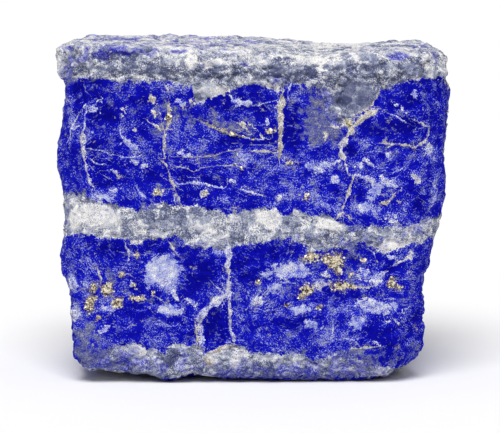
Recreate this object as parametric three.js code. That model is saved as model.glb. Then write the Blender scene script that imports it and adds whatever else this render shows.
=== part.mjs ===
// A rough block of lapis lazuli, in millimetres, with +Z up.
// The stone is one piece, so the group holds one mesh. It stands on a small flat spot in the plane z = 0.
// Its broad, nearly flat broken face looks towards -Y. The origin is under the middle of its bounding box.
// Its form starts as a box with rounded edges. The box is stretched between the profiles of its six sides,
// roughened with noise, and flattened where a chip has come off an edge or a corner.
import * as THREE from "three";
import { mergeVertices } from "three/addons/utils/BufferGeometryUtils.js";
import { ImprovedNoise } from "three/addons/math/ImprovedNoise.js";

// Driving dimensions of the block before it is roughened.
const WIDTH = 78;
const DEPTH = 50;
const HEIGHT = 68;
const EDGE_RADIUS = 2.2;

// The longest edge of a facet, and so how finely each side is divided.
const FACET = 2.5;

// Profiles. Each is a list of [position along the side, place of the surface], joined by a smooth curve.
// Left and right sides, seen from the front: [height, x].
const LEFT_SIDE = [
  [0, -35.2], [6, -35.6], [14, -36.2], [18, -36.7], [21, -38.2], [28, -37.6], [31, -37.2], [39, -37.8],
  [43, -38.4], [47, -39.3], [51, -37.9], [56, -37.4], [60, -36.5], [64, -37.4], [68, -39.6],
];
const RIGHT_SIDE = [
  [0, 34.0], [7, 35.1], [13, 34.4], [17, 34.4], [21, 34.6], [25, 35.6], [30, 36.5], [34, 37.7],
  [41, 38.3], [46, 38.2], [51, 39.0], [58, 39.6], [63, 39.2], [68, 38.6],
];
// Front and back, seen from the side: [height, y].
const FRONT_FACE = [
  [0, -23.4], [5, -24.3], [26, -24.4], [30, -24.9], [35, -24.9], [39, -24.4], [57, -24.3], [61, -24.5],
  [64, -25.1], [68, -24.0],
];
const BACK_FACE = [
  [0, 20.5], [9, 24.0], [24, 25.4], [38, 23.8], [52, 24.8], [62, 23.4], [68, 21.6],
];
// The crest of the top along its front edge, and the top along its back edge: [x, height].
const FRONT_CREST = [
  [-39, 68.0], [-34, 68.5], [-17, 68.4], [-11, 67.8], [-4, 67.6], [1, 66.9], [8, 66.8], [13, 66.1],
  [18, 66.8], [25, 67.6], [31, 67.3], [39, 67.4],
];
const BACK_CREST = [
  [-39, 68.0], [-33, 68.0], [-27, 68.0], [-5, 67.8], [5, 67.4], [9, 66.8], [14, 66.2], [21, 66.0],
  [28, 66.7], [33, 67.2], [39, 67.0],
];
// The underside along its front edge, seen from the front: [x, height].
const UNDERSIDE = [
  [-39, 3.0], [-31, 2.3], [-22, 2.0], [-17, 0.1], [-10, 1.6], [-3, 0.6], [6, -0.2], [17, 0.0],
  [26, 1.3], [33, 1.4],
];
// The middle of the underside bellies down by this much, and the belly is worn flat where it meets z = 0.
const BELLY = 1.6;

// The sides are a little fuller half way back than at the front and back edges.
// Their ledges dip by this much from front to back.
const SIDE_FULLNESS = 0.7;
const LEDGE_DIP = 9;

// How a face's outward direction decides its surface: worn below the first value, broken above the second,
// on a scale from -1, facing forward, to 1, facing back. Facing up counts as facing forward by this share.
const WORN_BELOW = -0.9;
const BROKEN_ABOVE = 0.3;
const UPWARD_SHARE = 0.9;

// Noise: [height of the bumps, their width], for a worn face and for a freshly broken one.
// Each size of bumps is taken from another place in the noise.
const WORN = [
  [0.4, 15],
  [0.25, 6],
];
const BROKEN = [
  [1.6, 21],
  [0.9, 8.5],
  [0.35, 3.8],
];
const NOISE_SHIFT = new THREE.Vector3(31.7, -31.7, 63.4);

// Chips: a flat scar through a point, with the direction that it faces.
// A scar keeps this share of the form under it.
const SCAR_KEEPS = 0.1;
const CHIPS = [
  { at: [-35.6, -22.0, 34], facing: [-0.72, -0.69, 0.05] }, // long bevel down the front left edge
  { at: [36.4, -22.0, 50], facing: [0.7, -0.71, 0.02] }, // front right edge, upper half
  { at: [32.4, -22.4, 14], facing: [0.66, -0.74, -0.12] }, // front right edge, lower half
  { at: [31.2, -18.5, 3.4], facing: [0.62, -0.3, -0.72] }, // lower front right corner
  { at: [-11, -23.2, 1.2], facing: [0.04, -0.82, -0.57] }, // scallop out of the lower front edge
  { at: [-38.0, 6, 16], facing: [-0.95, 0.08, -0.3] }, // left side, lower half
  { at: [-38.4, 4, 56], facing: [-0.96, 0.24, 0.12] }, // left side, upper half
  { at: [39.0, -17, 64.6], facing: [0.8, -0.42, 0.42] }, // upper front right corner
  { at: [35.8, 9, 27], facing: [0.93, 0.22, -0.3] }, // right side, lower half
  { at: [-33.4, 20.8, 57], facing: [-0.66, 0.7, 0.27] }, // upper back left edge
  { at: [33.6, 19.6, 60], facing: [0.7, 0.62, 0.34] }, // upper back right edge
  { at: [29, 19.5, 22], facing: [0.74, 0.67, -0.08] }, // back right edge
  { at: [-30, 20.0, 15], facing: [-0.62, 0.72, -0.3] }, // back left edge
  { at: [5, 20.4, 5], facing: [0.1, 0.66, -0.74] }, // lower back edge
  { at: [-8, 22.4, 61], facing: [-0.12, 0.84, 0.53] }, // upper back edge
  { at: [9, 24.2, 36], facing: [0.22, 0.97, 0.1] }, // flat scar across the back
  { at: [-19, 24.0, 34], facing: [-0.3, 0.95, -0.06] }, // second scar, beside it
];

const noise = new ImprovedNoise();
const half = new THREE.Vector3(WIDTH / 2, DEPTH / 2, HEIGHT / 2);

// A smooth function through the points of a profile, level beyond both of its ends.
function profile(points) {
  const slopes = points.map((_, i) => {
    const before = points[Math.max(i - 1, 0)];
    const after = points[Math.min(i + 1, points.length - 1)];
    return (after[1] - before[1]) / (after[0] - before[0]);
  });
  return (s) => {
    const i = THREE.MathUtils.clamp(points.findIndex((p) => p[0] > s) - 1, -2, points.length - 2);
    if (i < 0) return s <= points[0][0] ? points[0][1] : points[points.length - 1][1];
    const [from, to] = [points[i], points[i + 1]];
    const span = to[0] - from[0];
    const t = (s - from[0]) / span;
    const bend = slopes[i] * (1 - t) - slopes[i + 1] * t;
    return from[1] + (to[1] - from[1]) * t * t * (3 - 2 * t) + bend * span * t * (1 - t);
  };
}

const leftSide = profile(LEFT_SIDE);
const rightSide = profile(RIGHT_SIDE);
const frontFace = profile(FRONT_FACE);
const backFace = profile(BACK_FACE);
const frontCrest = profile(FRONT_CREST);
const backCrest = profile(BACK_CREST);
const underside = profile(UNDERSIDE);

// Several sizes of noise added up, at a point of the block.
function bumps(point, sizes) {
  let sum = 0;
  sizes.forEach(([height, width], i) => {
    const { x, y, z } = point.clone().divideScalar(width).addScaledVector(NOISE_SHIFT, i + 1);
    sum += height * noise.noise(x, y, z);
  });
  return sum;
}

// A point of the box with rounded edges, and its outward direction, for a point on the sharp box.
function onRoundedBox(sharp) {
  const core = sharp.clone().clamp(
    half.clone().negate().addScalar(EDGE_RADIUS),
    half.clone().subScalar(EDGE_RADIUS),
  );
  const outward = sharp.clone().sub(core).normalize();
  return { point: core.addScaledVector(outward, EDGE_RADIUS), outward };
}

// Moves a point of the rounded box to its place between the six profiles.
function stretched(point) {
  const across = point.x / half.x;
  const inward = point.y / half.y;
  const up = (point.z / half.z + 1) / 2;
  const height = up * HEIGHT;
  const fullness = SIDE_FULLNESS * (0.5 - inward * inward);
  const ledge = height + (LEDGE_DIP * (inward + 1)) / 2;
  const left = leftSide(ledge) - fullness;
  const right = rightSide(ledge) + fullness;
  const x = THREE.MathUtils.lerp(left, right, (across + 1) / 2);
  const belly = BELLY * (1 - across * across) * (1 - inward * inward);
  const top = THREE.MathUtils.lerp(frontCrest(x), backCrest(x), (inward + 1) / 2);
  const z = THREE.MathUtils.lerp(underside(x) - belly, top, up);
  const y = THREE.MathUtils.lerp(frontFace(height), backFace(height), (inward + 1) / 2);
  return new THREE.Vector3(x, y, z);
}

// The front face and the top are worn, and the rest is broken: 0 is worn and 1 is broken.
function brokenness(outward) {
  const backward = outward.y - UPWARD_SHARE * Math.max(outward.z, 0);
  return THREE.MathUtils.smoothstep(backward, WORN_BELOW, BROKEN_ABOVE);
}

function chipped(point) {
  for (const { at, facing } of CHIPS) {
    const normal = new THREE.Vector3(...facing).normalize();
    const proud = point.clone().sub(new THREE.Vector3(...at)).dot(normal);
    if (proud > 0) point.addScaledVector(normal, -proud * (1 - SCAR_KEEPS));
  }
  return point;
}

function blockGeometry() {
  const divisions = [WIDTH, DEPTH, HEIGHT].map((side) => Math.round(side / FACET));
  const box = new THREE.BoxGeometry(WIDTH, DEPTH, HEIGHT, ...divisions);
  box.deleteAttribute("normal");
  box.deleteAttribute("uv");
  const geometry = mergeVertices(box);
  const places = geometry.getAttribute("position");
  for (let i = 0; i < places.count; i += 1) {
    const { point, outward } = onRoundedBox(new THREE.Vector3().fromBufferAttribute(places, i));
    const broken = brokenness(outward);
    const place = stretched(point);
    const rough = THREE.MathUtils.lerp(bumps(place, WORN), bumps(place, BROKEN), broken);
    chipped(place.addScaledVector(outward, rough));
    places.setXYZ(i, place.x, place.y, Math.max(place.z, 0));
  }
  geometry.computeBoundingBox();
  const { min, max } = geometry.boundingBox;
  geometry.translate(-(min.x + max.x) / 2, -(min.y + max.y) / 2, -min.z);
  return geometry;
}

const lapisLazuli = new THREE.MeshStandardMaterial({ color: "#1d1f9e", roughness: 0.7, metalness: 0 });

const stone = new THREE.Mesh(blockGeometry(), lapisLazuli);
stone.name = "stone";

const block = new THREE.Group();
block.add(stone);

export default block;
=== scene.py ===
"""A rough block of lapis lazuli: blue lazurite crossed by calcite bands and veins, with grains of pyrite.

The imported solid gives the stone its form. A finer skin is laid over it, roughened as broken rock is, and each
kind of mineral is drawn on it from its outline or line on the stone, in millimetres.
"""

import math
from collections import namedtuple
from functools import partial

import bpy
import numpy as np
from mathutils import Matrix, Vector, noise
from mathutils.bvhtree import BVHTree


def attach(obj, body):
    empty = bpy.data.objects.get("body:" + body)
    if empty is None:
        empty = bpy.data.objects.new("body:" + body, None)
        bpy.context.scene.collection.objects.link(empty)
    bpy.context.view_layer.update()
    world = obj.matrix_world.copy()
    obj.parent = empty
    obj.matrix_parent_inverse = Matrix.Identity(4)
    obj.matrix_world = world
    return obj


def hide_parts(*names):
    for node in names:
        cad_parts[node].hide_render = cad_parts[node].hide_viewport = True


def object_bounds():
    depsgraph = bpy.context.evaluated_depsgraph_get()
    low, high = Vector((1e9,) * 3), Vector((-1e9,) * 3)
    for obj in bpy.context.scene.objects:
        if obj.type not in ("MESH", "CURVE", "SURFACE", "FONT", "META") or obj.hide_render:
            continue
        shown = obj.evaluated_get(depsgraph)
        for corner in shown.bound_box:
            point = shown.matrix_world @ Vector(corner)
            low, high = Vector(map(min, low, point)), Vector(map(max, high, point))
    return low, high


bl_info = {
    "name": "Rough Lapis Lazuli",
    "version": (1, 0, 0),
    "blender": (4, 5, 0),
    "location": "View3D > Sidebar > Lapis",
    "description": "Builds a rough block of lapis lazuli with calcite bands, veins and pyrite",
    "category": "Add Mesh",
}

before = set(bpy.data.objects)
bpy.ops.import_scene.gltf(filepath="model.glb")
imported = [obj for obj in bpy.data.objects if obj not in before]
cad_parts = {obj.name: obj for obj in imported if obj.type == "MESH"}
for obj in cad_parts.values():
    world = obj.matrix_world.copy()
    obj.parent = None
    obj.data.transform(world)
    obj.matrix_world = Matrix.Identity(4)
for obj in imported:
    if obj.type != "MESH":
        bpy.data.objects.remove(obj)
cad_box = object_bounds()

MM = 0.001
NODE = "stone"
STONE = "rough_stone"
PYRITE = "pyrite_grains"

# Places on the broad face are measured from a line this many mm to the right of the origin.
FACE_MIDDLE = 0.45

# The calcite bands on the broad face. Each edge is a list of (x, height) in mm, from left to right.
TOP_BAND_BOTTOM = [
    (-38.7, 62.1), (-34.1, 61.7), (-24.8, 61.3), (-18.4, 61.3), (-15.2, 60.7), (-12.5, 60.3), (-12.0, 57.6),
    (-10.8, 57.0), (-9.0, 57.7), (-2.7, 60.3), (0.4, 60.5), (4.6, 59.3), (6.8, 60.9), (11.2, 60.3),
    (13.2, 59.6), (14.0, 55.6), (15.2, 52.6), (17.6, 52.2), (19.5, 54.2), (23.1, 56.2), (25.0, 59.4),
    (27.3, 60.7), (32.6, 61.7), (37.6, 61.9),
]
MIDDLE_BAND_TOP = [
    (-38.9, 38.7), (-34.1, 38.9), (-32.7, 37.5), (-29.9, 37.1), (-26.7, 36.3), (-24.5, 35.7), (-22.5, 35.9),
    (-18.5, 37.1), (-14.3, 36.5), (-10.7, 36.3), (-7.7, 35.5), (-5.5, 34.7), (-3.1, 35.5), (1.4, 35.9),
    (4.4, 35.7), (6.0, 34.7), (8.6, 35.7), (11.2, 34.3), (14.0, 34.7), (16.3, 33.5), (19.7, 32.1),
    (25.3, 32.3), (31.1, 32.3), (33.1, 33.1), (37.2, 34.3),
]
MIDDLE_BAND_BOTTOM = [
    (-39.0, 30.1), (-37.0, 30.3), (-34.8, 31.1), (-32.8, 30.5), (-31.2, 29.7), (-28.4, 29.9), (-25.4, 29.3),
    (-23.6, 29.1), (-18.6, 29.9), (-15.4, 30.3), (-13.4, 28.6), (-10.8, 28.4), (-8.8, 27.8), (-7.2, 27.2),
    (-3.8, 28.4), (4.7, 29.7), (7.5, 29.9), (8.9, 28.8), (11.7, 27.2), (15.9, 27.8), (18.9, 27.4),
    (21.3, 29.1), (23.3, 28.0), (26.5, 26.8), (30.5, 28.4), (36.3, 29.5),
]
BOTTOM_BAND_TOP = [
    (-36.4, 2.0), (-31.2, 5.0), (-28.9, 7.5), (-26.1, 8.1), (-23.5, 8.3), (-21.7, 7.5), (-18.1, 6.7),
    (-17.1, 8.1), (-14.4, 8.3), (-11.2, 7.9), (-9.2, 6.5), (-7.2, 7.7), (-2.8, 8.1), (-0.9, 6.7),
    (7.5, 6.3), (9.7, 6.3), (11.7, 4.6), (16.0, 6.1), (18.0, 7.0), (20.6, 5.7), (23.4, 4.0), (30.0, 3.0),
]

MIDDLE_BAND = 33  # its height in mm
UNDERSIDE_BLUE = 0.9  # height in mm up to which the underside is blue again
CRACK_WIDTH = 0.22  # in mm
THREAD_WIDTH = 0.2  # in mm
MARK_DEPTH = 3.0  # how far into the stone a patch or a spot reaches, in mm

# What is further away than this, in mm, leaves no mark. A point that is so far from every line gets this
# distance, a half width below 0 and no tone.
FAR = 3.0
NO_LINE = (FAR, -1.0, 0.0)

# A hidden side has one line, patch, spot, grain or cluster for each of these areas, in square mm. A quarter
# of its lines are veins, a quarter are cracks and the rest are threads.
LINE_AREA = 140
BLUE_AREA = 75
CALCITE_AREA = 90
HAZE_AREA = 280
SPOT_AREA = 90
GRAIN_AREA = 45
CLUSTER_AREA = 420
# They keep this far from its edges, and this much further from the broad face, in mm.
EDGE_MARGIN = 4
FACE_MARGIN = 7

# A cluster of pyrite: the fewest crystals in it, how many there are for each crystal's area of it, and how
# far they spread from its middle, as a share of its half width. Then the corners of each face of a crystal.
FEWEST_CRYSTALS = 3
CRYSTAL_SHARE = 7
CLUSTER_SPREAD = 0.55
CRYSTAL_FACES = [(0, 1, 3, 2), (4, 6, 7, 5), (0, 4, 5, 1), (2, 3, 7, 6), (0, 2, 6, 4), (1, 5, 7, 3)]

# The skin is found from a core this far inside the solid's box, in mm, so that its points spread round the
# edges.
CORE_DEPTH = 18.0

# The floor's radius in m, where the light points, and how wide the light is, in degrees.
FLOOR_RADIUS = 12
KEY_DIRECTION = (0.06, 0.55, -1.0)
KEY_WIDTH = 35
# The x and y in mm of the point on the broad face that the camera looks at.
CAMERA_AIM = (-0.5, -24.5)

# The calcite veins on the broad face: width in mm, stain (-1 milky blue, 0 lavender white, 1 cream), and the
# line's (x, height) points in mm.
VEINS = [
    (0.3, -0.2, [(-34.3, 61.1), (-34.0, 59.5), (-33.3, 58.9)]),
    (0.55, 0.0, [(-33.4, 56.0), (-33.8, 54.6), (-34.0, 52.2), (-34.2, 51.4)]),
    (0.95, 0.5, [(-34.2, 51.4), (-34.4, 49.5), (-34.3, 47.2), (-34.1, 45.2)]),
    (0.5, 0.4, [(-34.1, 45.2), (-33.6, 43.4), (-33.0, 41.6), (-32.3, 40.2)]),
    (0.5, 0.3, [(-35.0, 54.8), (-35.8, 53.6), (-36.4, 52.4), (-37.0, 50.0), (-37.6, 48.8)]),
    (0.4, 0.0, [(-34.8, 52.6), (-36.0, 51.6), (-36.8, 51.2)]),
    (0.25, -0.3, [(-33.8, 47.8), (-30.8, 47.5), (-28.3, 46.6), (-25.7, 46.0), (-22.9, 46.4)]),
    (0.3, -0.2, [(-32.8, 45.6), (-31.3, 44.6), (-29.9, 44.6)]),
    (0.35, 0.0, [(-29.9, 42.4), (-29.1, 41.9)]),
    (0.3, -0.5, [(-24.1, 41.7), (-23.5, 39.9), (-22.5, 38.5), (-21.7, 37.9)]),
    (0.4, 0.2, [(-26.8, 51.6), (-26.4, 50.0), (-24.9, 49.0), (-23.3, 47.8)]),
    (0.45, 0.9, [(-21.2, 53.4), (-19.7, 52.4), (-18.9, 51.6)]),
    (0.3, 0.7, [(-17.9, 60.7), (-17.4, 59.9), (-17.2, 59.1)]),
    (0.6, 0.9, [(-17.1, 57.2), (-17.1, 55.8), (-17.0, 54.2), (-16.9, 53.2), (-17.6, 51.8)]),
    (0.4, 0.7, [(-17.8, 51.2), (-18.0, 49.6), (-18.1, 47.8), (-18.0, 46.2)]),
    (0.85, 0.6, [(-18.4, 45.2), (-17.8, 44.7), (-17.4, 44.2)]),
    (0.4, 0.7, [(-17.4, 44.0), (-17.0, 42.8), (-16.6, 41.8)]),
    (0.9, 0.7, [(-16.9, 41.5), (-16.3, 40.9), (-16.1, 40.2)]),
    (0.3, 0.6, [(-16.0, 39.8), (-15.5, 38.8), (-15.2, 38.0), (-14.9, 37.2), (-14.7, 36.6)]),
    (0.22, 0.4, [(-16.4, 39.8), (-16.1, 38.2), (-15.8, 37.2), (-15.4, 36.2)]),
    (0.4, 0.2, [
        (-16.1, 40.7), (-14.3, 40.8), (-12.6, 41.0), (-10.8, 41.0), (-9.2, 40.5), (-7.6, 40.1), (-5.6, 40.2),
    ]),
    (0.3, -0.2, [(-5.6, 40.2), (-5.3, 41.2), (-5.5, 41.8)]),
    (0.35, 0.2, [(-3.1, 39.8), (-1.6, 39.3), (-0.2, 38.9), (1.4, 38.4)]),
    (0.18, 0.9, [(-16.5, 46.4), (-14.1, 46.2), (-10.9, 46.2), (-8.5, 46.4), (-5.7, 47.4), (-2.9, 47.6)]),
    (0.16, 0.8, [
        (-16.5, 44.4), (-13.3, 44.0), (-12.1, 43.0), (-10.9, 44.0), (-7.7, 44.4), (-4.1, 44.6), (-0.9, 44.0),
    ]),
    (0.95, 0.75, [(5.7, 59.6), (5.5, 58.2), (5.3, 55.6), (5.2, 53.2), (5.1, 50.2), (5.0, 47.6), (5.0, 46.0)]),
    (0.35, 0.7, [(0.6, 61.2), (2.2, 60.7), (4.0, 60.0), (5.4, 59.3)]),
    (0.35, -0.2, [(6.6, 59.1), (7.0, 60.2), (7.4, 60.9), (7.0, 61.7)]),
    (0.25, -0.3, [(4.6, 57.6), (1.8, 56.8), (-0.6, 56.4)]),
    (0.3, -0.2, [(-2.1, 50.0), (-0.2, 49.7), (2.4, 49.8)]),
    (0.3, 0.6, [(-0.8, 47.4), (1.6, 47.2), (4.4, 46.9)]),
    (0.5, 0.8, [(-10.9, 53.4), (-8.8, 52.4), (-7.2, 51.6), (-5.8, 51.0)]),
    (0.7, 1.0, [(-6.0, 51.0), (-4.5, 50.6), (-2.6, 50.3)]),
    (0.4, 0.8, [(-3.7, 53.0), (-1.7, 51.8), (-1.1, 51.2)]),
    (0.35, 0.8, [(25.8, 60.6), (25.6, 59.4), (25.2, 60.6)]),
    (0.35, 0.8, [(24.2, 58.2), (23.8, 57.4), (23.2, 56.6), (22.4, 55.8), (21.0, 55.2)]),
    (1.4, 0.7, [(23.9, 55.3), (22.9, 54.6), (21.9, 53.8), (21.0, 53.2), (19.9, 52.6)]),
    (0.5, 0.9, [(14.9, 52.2), (16.4, 52.0), (17.6, 52.4)]),
    (1.3, 0.8, [(17.6, 52.8), (18.4, 53.2), (19.2, 52.6), (19.0, 51.3), (18.3, 50.2)]),
    (1.7, 0.6, [(18.3, 50.0), (17.8, 49.1), (17.1, 48.2)]),
    (1.1, 0.6, [(17.1, 47.8), (17.1, 46.6), (17.9, 45.6)]),
    (0.5, 0.6, [(18.0, 45.0), (18.2, 44.4), (18.5, 43.2), (18.8, 42.4)]),
    (0.4, 0.3, [(18.8, 42.4), (20.0, 42.5), (21.4, 42.3), (23.4, 41.5)]),
    (0.5, 0.7, [(19.6, 42.4), (19.4, 41.2), (19.0, 39.9), (18.6, 38.6), (18.2, 37.5), (17.7, 36.5)]),
    (0.8, 0.6, [(17.8, 36.6), (17.5, 36.0)]),
    (0.5, 0.7, [(17.4, 35.0), (16.8, 34.3), (16.2, 33.8)]),
    (0.4, 0.6, [(18.0, 34.8), (18.8, 34.2), (19.3, 33.6)]),
    (0.4, 0.1, [(17.0, 45.6), (15.8, 45.0), (14.6, 44.4), (13.0, 43.4)]),
    (0.2, 0.4, [(9.0, 45.3), (6.6, 45.1)]),
    (0.35, 0.8, [(24.9, 48.9), (27.3, 48.7), (30.1, 48.6), (32.1, 47.8)]),
    (0.2, 0.0, [(26.7, 54.8), (28.9, 53.8), (30.9, 52.6)]),
    (0.35, 0.4, [(31.7, 53.6), (33.4, 52.7), (34.9, 52.0)]),
    (0.5, 0.6, [(34.9, 51.6), (34.7, 50.4), (34.3, 49.6), (32.9, 48.4), (31.7, 48.0)]),
    (0.3, 0.1, [(29.8, 44.0), (28.2, 43.2), (27.4, 42.8)]),
    (0.45, -0.5, [(23.0, 39.3), (24.2, 40.3), (25.8, 40.7), (28.2, 40.3)]),
    (0.35, 0.5, [(25.0, 37.1), (26.2, 36.7), (27.4, 37.9), (28.2, 39.1)]),
    (0.45, -0.3, [(35.4, 40.7), (36.4, 39.5), (36.4, 37.5), (35.4, 35.9)]),
    (1.1, 0.3, [(-5.4, 28.6), (-5.3, 27.0), (-5.3, 25.4), (-5.5, 24.2), (-5.7, 23.2)]),
    (1.4, 0.5, [(-5.5, 23.8), (-5.6, 22.8), (-5.2, 22.4)]),
    (0.85, 0.5, [(-5.2, 22.4), (-5.1, 20.8), (-5.1, 19.6)]),
    (1.2, 0.3, [(-5.3, 19.4), (-5.2, 18.4), (-5.1, 17.4)]),
    (0.65, 0.4, [(-5.1, 17.2), (-5.0, 15.2), (-5.0, 13.2), (-4.9, 11.4), (-4.7, 10.2)]),
    (1.1, 0.3, [(-4.6, 10.6), (-4.5, 9.8), (-4.1, 9.0)]),
    (1.4, 0.3, [(-5.4, 18.3), (-6.4, 17.7), (-7.4, 17.1), (-9.0, 16.1)]),
    (1.3, 0.3, [(-9.0, 16.1), (-10.2, 15.2), (-10.9, 14.0), (-11.0, 12.6), (-10.8, 10.6)]),
    (1.0, 0.1, [(-10.8, 10.6), (-10.6, 9.2), (-10.4, 7.7), (-10.2, 6.4)]),
    (2.0, 0.7, [(-9.8, 5.6), (-9.2, 4.6), (-8.9, 4.2)]),
    (0.4, 0.9, [(-11.9, 12.6), (-11.8, 11.2), (-11.6, 9.7), (-11.4, 8.1)]),
    (0.7, 0.9, [(-9.0, 6.5), (-7.6, 7.0), (-6.2, 7.5), (-4.2, 7.9)]),
    (0.3, 0.5, [(-26.2, 29.2), (-26.0, 28.6), (-25.3, 27.4), (-25.2, 26.4), (-25.4, 25.2)]),
    (0.5, 0.7, [(-31.4, 23.6), (-31.2, 22.8), (-31.0, 21.8), (-31.0, 20.9)]),
    (0.3, -0.2, [(-34.7, 20.7), (-33.9, 20.1), (-33.1, 19.7)]),
    (0.45, 1.0, [(-17.0, 28.8), (-16.4, 27.6), (-15.6, 26.8)]),
    (0.35, 0.6, [(-27.0, 22.3), (-26.2, 22.6), (-25.4, 22.6), (-24.6, 22.0)]),
    (0.3, 0.2, [(-19.8, 17.9), (-18.8, 17.2), (-17.8, 16.7)]),
    (0.22, 0.4, [(-8.6, 20.9), (-7.4, 19.7), (-6.2, 18.7)]),
    (0.5, 0.0, [(-29.1, 12.0), (-30.1, 11.3), (-31.5, 10.4)]),
    (0.25, -0.2, [(3.1, 20.7), (5.6, 20.9), (7.9, 20.9), (8.7, 20.3)]),
    (0.35, 0.6, [(23.1, 19.9), (21.4, 19.8), (19.5, 20.1)]),
    (0.3, 0.0, [(26.4, 17.5), (28.8, 17.4)]),
    (0.4, 0.5, [(27.9, 24.4), (29.2, 25.0), (30.3, 25.6), (31.1, 26.2), (31.5, 27.4)]),
    (0.35, 0.4, [(22.7, 27.6), (23.6, 27.2), (23.9, 26.4)]),
    (0.35, 0.2, [(28.6, 14.9), (28.8, 14.5), (29.8, 14.4), (30.6, 15.3)]),
    (0.25, 0.6, [(19.6, 7.3), (21.2, 7.4), (22.8, 7.5), (25.2, 7.9)]),
    (0.4, 0.0, [(15.6, 10.2), (15.9, 11.2), (15.7, 12.2)]),
]

# Spots of calcite in the blue rock of the broad face: (x, height, half width, half height) in mm, its turn in
# degrees and its stain as above.
SPOTS = [
    (-18.4, 23.4, 3.8, 3.0, 10, -0.85), (-18.2, 21.2, 1.9, 1.2, 0, 0.2), (-20.6, 21.6, 1.8, 1.2, 40, -1.0),
    (7.3, 23.3, 3.5, 1.7, -3, -0.55), (2.6, 22.6, 0.9, 1.2, 60, -1.1), (-17.0, 15.3, 2.5, 0.95, 4, -0.9),
    (23.8, 15.9, 3.3, 1.45, -10, -0.55), (20.8, 12.8, 1.6, 1.5, 50, -1.1),
    (11.9, 12.2, 1.5, 0.55, -18, -0.6), (9.3, 15.3, 2.1, 0.85, 8, -0.7), (24.6, 21.8, 1.5, 0.8, 35, -0.4),
    (21.9, 22.8, 1.2, 1.1, 60, -0.3), (13.4, 20.3, 1.7, 0.75, 22, 0.45), (14.5, 22.5, 0.6, 0.55, 0, 0.3),
    (3.6, 19.6, 1.5, 0.8, 20, -0.9), (0.6, 17.0, 1.1, 0.8, 50, 0.2), (24.0, 39.4, 2.4, 0.9, 52, -0.8),
    (26.9, 41.0, 1.8, 0.6, -35, 0.2), (22.9, 41.5, 1.1, 0.55, -30, 0.4), (32.2, 41.8, 1.0, 0.5, -45, 0.4),
    (13.2, 44.0, 1.5, 0.75, 32, -0.3), (11.2, 44.3, 0.9, 1.1, 0, -0.6), (16.2, 41.6, 0.8, 0.8, 0, 0.0),
    (4.6, 38.0, 0.5, 0.32, 0, 0.4), (-2.6, 46.0, 0.9, 0.5, -30, -0.4), (-32.4, 55.8, 1.2, 0.5, -20, -0.2),
    (-36.4, 20.5, 0.9, 1.0, 0, -0.5), (-36.2, 13.9, 1.0, 1.1, 0, 0.3), (-22.2, 44.5, 0.6, 0.4, 0, 0.2),
    (-23.9, 45.2, 0.6, 0.4, 20, 0.2), (-28.1, 43.3, 0.35, 0.45, 20, 0.2),
    (-30.2, 38.2, 1.7, 0.7, -18, -0.7), (-28.2, 39.3, 0.8, 0.5, 0, -0.3), (23.1, 44.8, 0.55, 0.4, 0, 0.5),
    (20.8, 44.6, 0.5, 0.5, 0, 0.1), (-12.4, 57.3, 0.6, 0.5, 0, 0.8), (-2.2, 52.8, 0.7, 0.45, 0, 0.8),
    (0.3, 51.8, 0.4, 0.22, -35, 0.2), (1.1, 50.4, 0.35, 0.45, 0, 0.7), (26.7, 46.4, 0.5, 0.9, 0, -0.3),
    (27.3, 26.0, 0.6, 0.3, -20, -0.4), (31.3, 26.6, 0.35, 0.9, 5, 0.4), (-23.9, 29.1, 1.1, 0.5, 0, 0.5),
    (28.2, 13.2, 0.9, 0.26, 12, 0.0), (29.5, 14.7, 0.6, 0.4, 20, 0.1), (31.7, 8.0, 0.7, 0.6, 30, -0.4),
    (-12.9, 16.9, 1.1, 0.35, -24, 0.1), (-16.2, 18.8, 0.4, 1.0, 15, -0.3), (-30.4, 11.2, 0.9, 0.4, 35, 0.0),
    (32.0, 58.6, 0.9, 0.7, 0, -0.6), (28.8, 56.2, 0.8, 0.3, -40, 0.0), (-4.0, 57.3, 1.0, 0.6, -30, -0.6),
    (-1.8, 57.0, 0.9, 0.5, -15, -0.6), (2.6, 53.2, 0.7, 0.4, 30, -0.4), (-14.8, 57.0, 0.9, 0.6, -20, -0.5),
    (-14.2, 46.6, 0.8, 0.4, -10, 0.0), (-25.0, 48.8, 1.8, 0.7, -30, -0.8), (22.2, 36.2, 1.5, 0.9, 20, -0.6),
    (27.5, 33.6, 0.9, 0.4, 15, -0.4), (28.0, 15.9, 0.8, 1.0, 0, -0.9), (-29.2, 15.6, 1.4, 0.6, 0, -0.6),
    (-22.6, 17.8, 0.4, 0.3, 0, 0.3), (-24.6, 20.4, 0.9, 0.35, -40, 0.1), (24.0, 8.6, 0.8, 0.45, -30, 0.3),
    (34.9, 47.6, 0.9, 0.9, 0, -0.5), (-4.6, 41.3, 0.5, 0.25, 0, 0.0), (-10.0, 38.8, 0.8, 0.7, 0, 0.5),
    (-19.5, 39.2, 1.1, 0.6, -25, 0.7), (-12.9, 57.6, 0.6, 0.4, 0, 0.9), (-20.4, 57.6, 0.6, 0.9, 30, 0.9),
    (-26.2, 55.7, 0.5, 0.25, -10, 0.6), (-26.8, 54.4, 0.6, 0.25, 20, 0.7), (-24.0, 52.0, 0.3, 0.5, 0, 0.8),
    (-30.8, 57.6, 0.5, 0.25, 20, 0.3), (-19.6, 55.0, 0.7, 0.5, 0, 0.9), (21.9, 45.9, 0.5, 0.35, 0, 0.2),
    (14.2, 50.0, 0.35, 0.6, 0, 0.9),
]

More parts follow.
